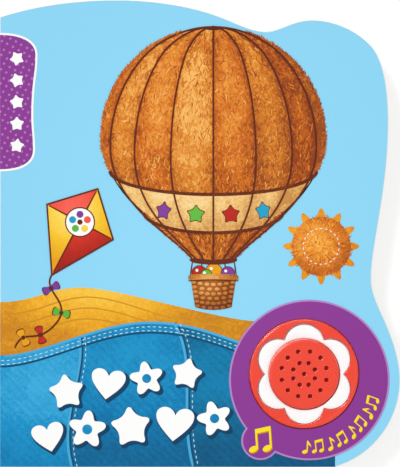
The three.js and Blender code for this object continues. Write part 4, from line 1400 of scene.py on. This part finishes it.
    def sun(self) -> None:
        """A plush sun with short rays."""
        centre, radius = (132.5, 91.0), 12.2
        builder = Builder("print_plush_sun")
        for i in range(12):
            ray = [polar(centre, reach, 30 * i + off) for reach, off in ((10.8, -13.5), (17.4, 0), (10.8, 13.5))]
            self.plate(builder, rounded(ray, 3), 3 + 0.05 * i, SUN_RAYS)
        self.plate(builder, circle(centre, radius, 72), 4, PLUSH_SUN)
        self.give(builder, "ink_orange")
        source = random.Random(5)
        spots: list[Spot] = []
        for _ in range(620):
            angle, distance = source.uniform(0, 360), (radius + 0.1) * math.sqrt(source.random())
            here = polar(centre, distance, angle)
            lit = 0.75 - 0.045 * math.dist(here, (129, 95)) + source.gauss(0, 0.14)
            at = place(*here, self.level(5) + source.uniform(0, 0.03))
            spots.append(Spot(at, math.radians(angle) + source.gauss(0, 0.4), min(1.0, max(0.05, lit))))
        self.flakes.scatter("print_sun_hair", spots, (2.0, 0.42, 1.0), SUN_HAIR, self.body, "ink_orange", 0.35)
        stitches = self.along([polar(centre, 7.4, 4 * a) for a in range(91)], 2.1, 5.6)
        self.beads.scatter("print_sun_stitches", stitches, (1.3, 0.4, 0.1), WHITE_INK, self.body, "ink_cream")

    def shapes(self) -> None:
        """Big white stars, hearts and flowers with navy shadows on the hills."""
        builder = Builder("print_white_shapes")
        for motif, x, y, size, turn in (
            (Motif.STAR, 27.5, 31.0, 8.4, 8),
            (Motif.HEART, 44.5, 34.5, 7.0, -8),
            (Motif.FLOWER, 60.5, 36.5, 7.2, 10),
            (Motif.STAR, 77.0, 38.5, 7.4, -12),
            (Motif.HEART, 20.0, 12.5, 6.6, 12),
            (Motif.FLOWER, 36.0, 15.5, 8.0, -5),
            (Motif.STAR, 54.0, 16.5, 9.6, 6),
            (Motif.HEART, 72.0, 18.0, 7.8, -6),
            (Motif.FLOWER, 88.5, 20.0, 7.4, 16),
        ):
            outline = motif_outline(motif)
            self.plate(builder, moved(outline, (x + 0.9, y - 1.0), turn, size + 0.7), 8, SHADOW_INK)
            self.plate(builder, moved(outline, (x, y), turn, size), 9, WHITE_INK)
            if motif is Motif.FLOWER:
                self.plate(builder, circle((x, y), size * 0.26, 28), 9.5, DENIM_PALE)
        self.give(builder, "ink_blue")

    def tab_outline(self, grow: float) -> Loop:
        """The waved outline of the dotted tab.

        Args:
            grow: the margin by which it is grown.

        Returns:
            The outline, cut off at the spine.
        """
        foot, head, width, corner = 122.8, 178.2, 14.6, 8.0
        inner, half = width - 1, corner / 2
        points = [
            (0.0, foot), (width - half, foot), (inner, foot + half), (inner, foot + corner),
            (inner, foot + 2 * corner), (width - 2, foot + 2 * corner), (width - 1.6, (foot + head) / 2),
            (inner, head - 2 * corner), (width, head - 2 * corner), (width, head - corner),
            (width, head - half), (width - half, head), (0.0, head),
        ]  # fmt: skip
        loop = wound(curve(points, 20) + [(0.0, head)], True)
        return [(max(0.0, x), y) for x, y in inset(loop, -grow)]

    def tab(self) -> None:
        """The dotted purple tab at the spine, edged in white, with a column of stars."""
        builder = Builder("print_dotted_tab")
        self.plate(builder, self.tab_outline(0.85), 2, WHITE_INK)
        self.plate(builder, self.tab_outline(0.0), 3, TAB_DOTS)
        for i in range(5):
            star = moved(motif_outline(Motif.STAR), (7.0, 132.5 + 9.0 * i), -8 + 9 * i, 3.4)
            self.plate(builder, star, 4, WHITE_INK)
        self.give(builder, "ink_purple", ["print_tab"])

    def note(self, builder: Builder, at: Point, size: float, turn: float, pair: bool) -> None:
        """Add one printed music note, or a beamed pair.

        Args:
            builder: the mesh that it goes into.
            at: the middle of the note.
            size: its height.
            turn: its turn in degrees.
            pair: whether two notes share a beam.
        """
        shapes: list[tuple[Loop, float]] = []
        for x in (-0.3, 0.3) if pair else (0.0,):
            head = [(x - 0.06 + 0.2 * math.cos(a), -0.36 + 0.145 * math.sin(a + 0.35)) for a in radians_round(24)]
            stem = [(x + 0.06, -0.36), (x + 0.145, -0.36), (x + 0.145, 0.48), (x + 0.06, 0.44)]
            shapes += [(head, 0.0), (stem, 0.3)]
        top = [(-0.24, 0.5), (-0.24, 0.3), (0.445, 0.4), (0.445, 0.6)]
        if not pair:
            top = curve([(0.145, 0.5), (0.16, 0.3), (0.42, 0.28), (0.36, -0.04)], 8)
            top += curve([(0.36, -0.04), (0.34, 0.12), (0.2, 0.16), (0.145, 0.2)], 8) + [(0.145, 0.2)]
        shapes.append((top, 0.6))
        for layer, ink, (right, up) in ((10, YELLOW_SHADE, (0.035, -0.05)), (12, YELLOW, (0.0, 0.0))):
            where = (at[0] + right * size, at[1] + up * size)
            for shape, lift in shapes:
                self.plate(builder, moved(shape, where, turn, size), layer + lift, ink)

    def disc(self) -> None:
        """The purple sound disc with its lilac outline and a ring of yellow notes."""
        builder = Builder("print_sound_disc")
        hole = circle(BOOK.module, 22.85, 180)
        for layer, rim, ink in ((6, 0.0, LILAC), (8, 0.75, PURPLE)):
            self.plate(builder, circle(BOOK.lobe, BOOK.disc_radius - rim, 180), layer, ink, [hole])
            self.plate(builder, circle(BOOK.bulge, BOOK.bulge_radius - rim, 96), layer + 0.3, ink)
        self.note(builder, (BOOK.bulge[0] + 0.3, BOOK.bulge[1] + 0.2), 9.5, 4, True)
        orbit, start, pitch = 27.6, -93, 10.5
        for i in range(8):
            angle, pair = start + pitch * i, i % 2 == 1
            self.note(builder, polar(BOOK.lobe, orbit, angle), 5.0 if pair else 5.6, angle + 90, pair)
        self.give(builder, "ink_purple", ["print_disc"])


@dataclass
class PageArt(PrintedSheet):
    """The print on the first page: a rainbow, clouds and a sun over a meadow with flowers."""

    ground: float = BOOK.pages_top
    body: str = "pages"
    step: float = 0.02
    margin: float = 0.6
    gutter: float = 3.0

    def under(self, crest: Callable[[float], float], reach: float) -> Loop:
        """The part of the page under a crest line.

        Args:
            crest: the line's height over each x.
            reach: where the field ends at the latest.

        Returns:
            Its outline.
        """
        edge = [(min(max(x, self.gutter), reach), y) for x, y in inset(wound(board_outline(), True), self.margin)]
        low = [point for point in edge if point[1] < crest(point[0]) - 0.3]
        low = [point for i, point in enumerate(low) if i == 0 or math.dist(point, low[i - 1]) > 0.05]
        start = max(range(len(low)), key=lambda i: math.dist(low[i], low[i - 1]))
        low = low[start:] + low[:start]
        end, begin = low[-1][0], low[0][0]
        return low + [(x, crest(x)) for x in (end + (begin - end) * i / 60 for i in range(61))]

    def build(self) -> None:
        """Print the page."""
        self.sky()
        self.meadow()
        self.flowers()

    def sky(self) -> None:
        """The sun, the clouds and the rainbow."""
        builder = Builder("page_print_sky")
        sun, bow = (33, 152), (84, 62)
        for i in range(12):
            ray = [polar(sun, reach, 30 * i + off) for reach, off in ((14.5, -9), (23.0, 0), (14.5, 9))]
            self.plate(builder, rounded(ray, 3), 1, PAGE_SUN)
        self.plate(builder, circle(sun, 12.5, 72), 1, PAGE_SUN)
        for i, ink in enumerate((RED, PAGE_SUN, GREEN, TEAL, VIOLET)):
            outer, inner = ([polar(bow, reach - 4.5 * i, 3 * a) for a in range(61)] for reach in (55, 50.7))
            self.plate(builder, outer + inner[::-1], 1, ink)
        clouds = (((75, 150), 1.0), ((128, 142), 0.8), ((30, 112), 0.7))
        puffs = (((-11, 0), 6.5), ((-3, 4.5), 8.5), ((8, 2), 7.0), ((15, -1.5), 4.6), ((1, -2.5), 7.0))
        for number, (centre, size) in enumerate(clouds):
            for i, (offset, radius) in enumerate(puffs):
                at = (centre[0] + offset[0] * size, centre[1] + offset[1] * size)
                self.plate(builder, circle(at, radius * size, 48), 2 + 0.2 * i + number, WHITE_INK)
        self.give(builder, "page_board")

    def meadow(self) -> None:
        """Two green hills along the foot of the page."""
        builder = Builder("page_print_meadow")
        hole = circle(BOOK.module, BOOK.leaf_hole + 0.3, 120)
        far = self.under(lambda x: 74 + 9 * math.sin(math.radians(2.6 * x - 40)), 165)
        self.plate(builder, far, 6, MEADOW, [hole])
        near = self.under(lambda x: 47 * math.cos(math.pi / 2 * x / 99) + 0.8, 98)
        self.plate(builder, near, 7, MEADOW_NEAR)
        self.give(builder, "page_board")

    def flowers(self) -> None:
        """Flowers scattered over the meadow."""
        builder = Builder("page_print_flowers")
        beds = (
            (14, 22, 5.0, RED), (34, 33, 4.2, WHITE_INK), (30, 12, 4.0, VIOLET), (52, 20, 5.0, PAGE_SUN),
            (72, 10, 4.0, RED), (20, 58, 3.6, WHITE_INK), (46, 62, 4.4, VIOLET), (70, 52, 3.8, RED),
            (88, 40, 3.4, WHITE_INK), (90, 60, 4.0, PAGE_SUN), (62, 72, 3.0, WHITE_INK), (148, 66, 3.2, VIOLET),
        )  # fmt: skip
        for i, (x, y, size, ink) in enumerate(beds):
            self.plate(builder, moved(motif_outline(Motif.FLOWER), (x, y), 25 * i, size), 8, ink)
            self.plate(builder, circle((x, y), size * 0.3, 24), 9, TEAL if ink is PAGE_SUN else PAGE_SUN)
        self.give(builder, "page_board")


@dataclass
class SoundModule:
    """The red drum with its white flower and the speaker button in the middle."""

    top: float = 18.0
    roof: float = 16.2
    steps: int = 240
    petals: int = 6
    petal_radius: float = 8.4
    petal_orbit: float = 12.3
    button_radius: float = 14.5
    button_top: float = 18.9
    hole_radius: float = 0.9
    rings: tuple[tuple[float, int], ...] = ((4.8, 8), (9.5, 12))
    play: Point = (0.14, -0.14)

    def flower(self, degrees: float) -> float:
        """The flower's radius in a direction.

        Args:
            degrees: the direction, from the fore-edge.

        Returns:
            The radius in millimetres, never less than the button's.
        """
        best = self.button_radius
        for petal in range(self.petals):
            off = math.radians(degrees - 30 - 360 * petal / self.petals)
            side = self.petal_orbit * math.sin(off)
            if abs(side) < self.petal_radius and math.cos(off) > 0:
                best = max(best, self.petal_orbit * math.cos(off) + math.sqrt(self.petal_radius**2 - side**2))
        return best

    def ring(self, radius: float | Callable[[float], float], z: float, shift: Point = (0.0, 0.0)) -> list[Vector]:
        """A ring of points round the module's axis.

        Args:
            radius: the radius, or a rule that gives it for a direction in degrees.
            z: the height in millimetres.
            shift: how far the ring's centre lies off the axis.

        Returns:
            The points in metres.
        """
        points = []
        centre = (BOOK.module[0] + shift[0], BOOK.module[1] + shift[1])
        for i in range(self.steps):
            degrees = 360 * i / self.steps
            reach = radius(degrees) if callable(radius) else radius
            points.append(place(*polar(centre, reach, degrees), z))
        return points

    def build(self) -> list[bpy.types.Object]:
        """Build the drum, the flower and the button.

        Returns:
            The two red mouldings.
        """
        drum, button = self.drum(), self.button()
        self.inlay()
        return [drum, button]

    def drum(self) -> bpy.types.Object:
        """The red drum: a rounded rim, a shallow groove and an eased flower opening.

        Returns:
            The finished piece.
        """
        builder = Builder("module_drum")
        petal, top = self.flower, self.top
        wall, flange, bore, seat = 22.7, 26.0, 21.2, 3.4
        outer = [
            (20.5, top), (20.75, top - 0.06), (21.0, top - 0.02), (21.3, top + 0.04), (21.68, top - 0.01),
            (22.04, top - 0.16), (22.35, top - 0.44), (22.58, top - 0.86), (wall, top - 1.4), (wall, seat),
            (flange - 0.2, seat), (flange, seat - 0.2), (flange, BOOK.board), (bore, BOOK.board), (bore, self.roof),
        ]  # fmt: skip
        eased = ((0.12, self.roof), (0.12, top - 0.4), (0.17, top - 0.16), (0.3, top - 0.04))
        rings = [self.ring(lambda a, e=ease: petal(a) + e, z) for ease, z in eased]
        rings.append(self.ring(lambda a: petal(a) + (0.6 if petal(a) < 19.8 else 0.45), top))
        rings += [self.ring(lambda a, r=r: max(r, petal(a) + 0.5), z) for r, z in outer[:3]]
        rings += [self.ring(r, z) for r, z in outer[3:]]
        builder.loft(rings, ABS_RED)
        return builder.finish("back_cover", "red_plastic", ["module_case"], sharp=40)

    def inlay(self) -> None:
        """The white flower, gently crowned, on a flange that the drum hides. It lies to one side of its play."""
        builder = Builder("flower_inlay_crowned")
        petal, top, play = self.flower, self.top - 0.7, self.play
        inner, foot, crown = 14.76, 15.3, 14.91
        rings = [self.ring(inner, foot, play), self.ring(inner, top - 0.15, play), self.ring(inner + 0.17, top, play)]
        for share in (k / 7 for k in range(1, 7)):
            rise = 0.16 * math.sin(math.pi * share)
            rings.append(self.ring(lambda a, s=share: crown + max(petal(a) - 0.36 - crown, 0.1) * s, top + rise, play))
        for inwards, down in ((0.36, 0.02), (0.28, 0.12), (0.24, 0.35), (0.24, 1.6)):
            rings.append(self.ring(lambda a, i=inwards: petal(a) - i, top - down, play))
        rings += [self.ring(20.9, z) for z in (15.66, foot)]
        builder.loft(rings, ABS_WHITE)
        builder.finish("back_cover", "white_plastic", ["flower_inlay"], sharp=40)

    def button(self) -> bpy.types.Object:
        """The red speaker button with eased grille holes, and the dust cloth under them, coloured dark as painted
        shade for the holes.

        Returns:
            The finished button.
        """
        builder = Builder("grille_button")
        radius, top, hole = self.button_radius, self.button_top, self.hole_radius
        roof = top - 1.2
        profile = [
            (13.3, 14.0), (15.4, 14.0), (15.4, 15.0), (radius, 15.0), (radius, top - 1.0), (14.44, top - 0.66),
            (14.26, top - 0.36), (13.98, top - 0.14), (13.6, top - 0.03), (13.2, top),
        ]  # fmt: skip
        slot = builder.slot(ABS_RED_GRILLE)
        made = [[builder.bm.verts.new(point) for point in self.ring(r, z)] for r, z in profile]
        under = [builder.bm.verts.new(point) for point in self.ring(profile[0][0], roof)]
        for below, above in [*zip(made, made[1:]), (made[0], under)]:
            builder.bridge(below, above, slot)
        centres = [BOOK.module]
        for orbit, count in self.rings:
            centres += [polar(BOOK.module, orbit, 360 * (i + 0.5) / count) for i in range(count)]
        mouths, feet = [], []
        for centre in centres:
            stack = [
                [builder.bm.verts.new(place(*point, z)) for point in circle(centre, r, 24)]
                for r, z in ((hole + 0.12, top), (hole + 0.03, top - 0.06), (hole, top - 0.16), (hole, roof))
            ]
            for above, below in zip(stack, stack[1:]):
                builder.bridge(above, below, slot)
            mouths.append(stack[0])
            feet.append(stack[-1])
        builder.cap([made[-1], *mouths], slot)
        builder.cap([under, *feet], slot)
        button = builder.finish("button", "red_plastic", ["speaker_button"], sharp=40)
        # The cloth's dark red is painted shade that stands for the shade down the grille holes
        cloth = Builder("grille_dust_cloth_painted_shade")
        cloth.slab(circle(BOOK.module, 13.1, 96), roof - 0.2, roof - 0.02, DUST_CLOTH_PAINTED_SHADE, bevel=0.04)
        cloth.finish("button", "red_plastic")
        return button


@dataclass
class Hardware:
    """Finishes of the solids that stay as the part has them."""

    finishes: dict[str, Finish] = field(
        default_factory=lambda: {
            "module_base": ABS_GREY,
            "battery_door": ABS_GREY,
            "battery_door_screw": PLATED_STEEL,
            "case_screw_": PLATED_STEEL,
            "button_cell_": PLATED_STEEL,
            "battery_contact_": CONTACT_BRASS,
            "battery_link_": CONTACT_BRASS,
            "circuit_board": SOLDER_MASK,
            "sound_chip": EPOXY,
            "capacitor": BLUE_SLEEVE,
            "switch_body": EPOXY,
            "switch_plunger": NYLON,
            "speaker_magnet": PLATED_STEEL,
            "speaker_frame": PLATED_STEEL,
            "speaker_cone": CONE_FILM,
            "speaker_gasket": FOAM,
            "return_spring_": SPRING_STEEL,
            "speaker_lead_red": RED_PVC,
            "speaker_lead_black": BLACK_PVC,
        }
    )

    def build(self) -> None:
        """Dress each solid by the start of its name."""
        for name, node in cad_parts.items():
            for start, finish in self.finishes.items():
                if name.startswith(start):
                    for slot in node.material_slots:
                        slot.material = finish.material()
                    LOG.info("%s: %s", name, finish.name)


@dataclass
class Studio:
    """The camera, the lamps and the white floor."""

    frame_height: float = 0.19264
    lens: float = 200.0
    ambient: float = 0.53
    key: float = 1.1
    soft: float = 0.52
    fill: float = 0.5
    key_from: Point = (131, 37)
    fill_from: Point = (311, 64)
    floor_half: float = 3.0
    floor_glow: float = 0.6
    rim: tuple[float, ...] = (0.8, 1.4, 1.9, 1.9, 1.9, 1.9, 1.4, 0.8)

    def build(self) -> None:
        """Set up the view and the light."""
        self.camera()
        self.lamps()
        self.floor()
        bpy.context.scene.view_settings.view_transform = "Standard"

    def sun(self, name: str, energy: float, width: float, compass: float, tilt: float) -> bpy.types.Object:
        """Add a far lamp.

        Args:
            name: its name.
            energy: its strength.
            width: how wide it looks, in degrees.
            compass: where it stands round the book, in degrees from the fore-edge.
            tilt: its angle from straight above.

        Returns:
            The lamp.
        """
        light = bpy.data.lights.new(name, "SUN")
        light.energy = energy
        light.angle = math.radians(width)
        lamp = bpy.data.objects.new(name, light)
        lamp.rotation_euler = (0.0, math.radians(tilt), math.radians(compass))
        bpy.context.scene.collection.objects.link(lamp)
        return lamp

    def camera(self) -> None:
        """A long lens straight above the book, framed on its cover."""
        data = bpy.data.cameras.new("overhead")
        data.lens = self.lens
        data.sensor_fit = "VERTICAL"
        data.sensor_height = 36.0
        data.clip_start = 0.05
        data.clip_end = 20.0
        camera = bpy.data.objects.new("overhead", data)
        distance = self.lens / data.sensor_height * self.frame_height
        camera.location = (0.0, 0.0, distance + BOOK.cover_top * MM)
        bpy.context.scene.collection.objects.link(camera)
        bpy.context.scene.camera = camera

    def lamps(self) -> None:
        """A soft key from the upper left over an even studio light."""
        self.sun("key", self.key, 12, *self.key_from)
        self.sun("softbox", self.soft, 75, *self.key_from)
        self.sun("fill", self.fill, 80, *self.fill_from)
        world = bpy.data.worlds.new("studio")
        world.use_nodes = True
        tree = NodeTree(world.node_tree)
        shares = {"Factor": tree.background_seen(), "A": self.ambient, "B": 1.0}
        strength = tree.add("ShaderNodeMix", shares).outputs["Result"]
        ground = tree.add("ShaderNodeBackground", {"Color": (1, 1, 1, 1), "Strength": strength})
        tree.add("ShaderNodeOutputWorld", {"Surface": ground.outputs[0]})
        bpy.context.scene.world = world

    def rim_lamps(self, pieces: Sequence[bpy.types.Object]) -> None:
        """An arc of small lamps that shows only as a line of light along rounded plastic.

        They shine slightly upwards, so flat tops catch none of it from any side.

        Args:
            pieces: the pieces that they light.
        """
        lit = bpy.data.collections.new("rounded_plastic")
        for piece in pieces:
            lit.objects.link(piece)
        first, pitch, below_horizon = 70, 16, 97
        arc = [(first + pitch * i, energy) for i, energy in enumerate(self.rim)]
        for compass, energy in arc + [(12, 0.5), (28, 0.5)]:
            lamp = self.sun(f"rim_{compass}", energy, 12, compass, below_horizon)
            lamp.data.use_shadow = False
            lamp.visible_diffuse = False
            lamp.light_linking.receiver_collection = lit

    def floor(self) -> None:
        """A white floor that keeps the book's shadow."""
        half = self.floor_half
        mesh = bpy.data.meshes.new("floor")
        corners = [(-half, -half, 0), (half, -half, 0), (half, half, 0), (-half, half, 0)]
        mesh.from_pydata(corners, [], [(0, 1, 2, 3)])
        tree = MaterialTree("white_paper_floor")
        glow = tree.math("MULTIPLY", tree.background_seen(), self.floor_glow)
        inputs = {"Base Color": linear("#B8B8B8"), "Roughness": 0.9}
        inputs |= {"Emission Color": (1, 1, 1, 1), "Emission Strength": glow}
        mesh.materials.append(tree.surface(inputs))
        floor = bpy.data.objects.new("floor", mesh)
        floor.location.z = -0.0002
        bpy.context.scene.collection.objects.link(floor)


def main() -> None:
    """Build the studio and every piece of the book."""
    logging.basicConfig(level=logging.INFO, format="%(message)s")
    studio = Studio()
    studio.build()
    Boards().build()
    CoverArt().build()
    PageArt().build()
    studio.rim_lamps(SoundModule().build())
    Hardware().build()


if __name__ == "__main__":
    main()
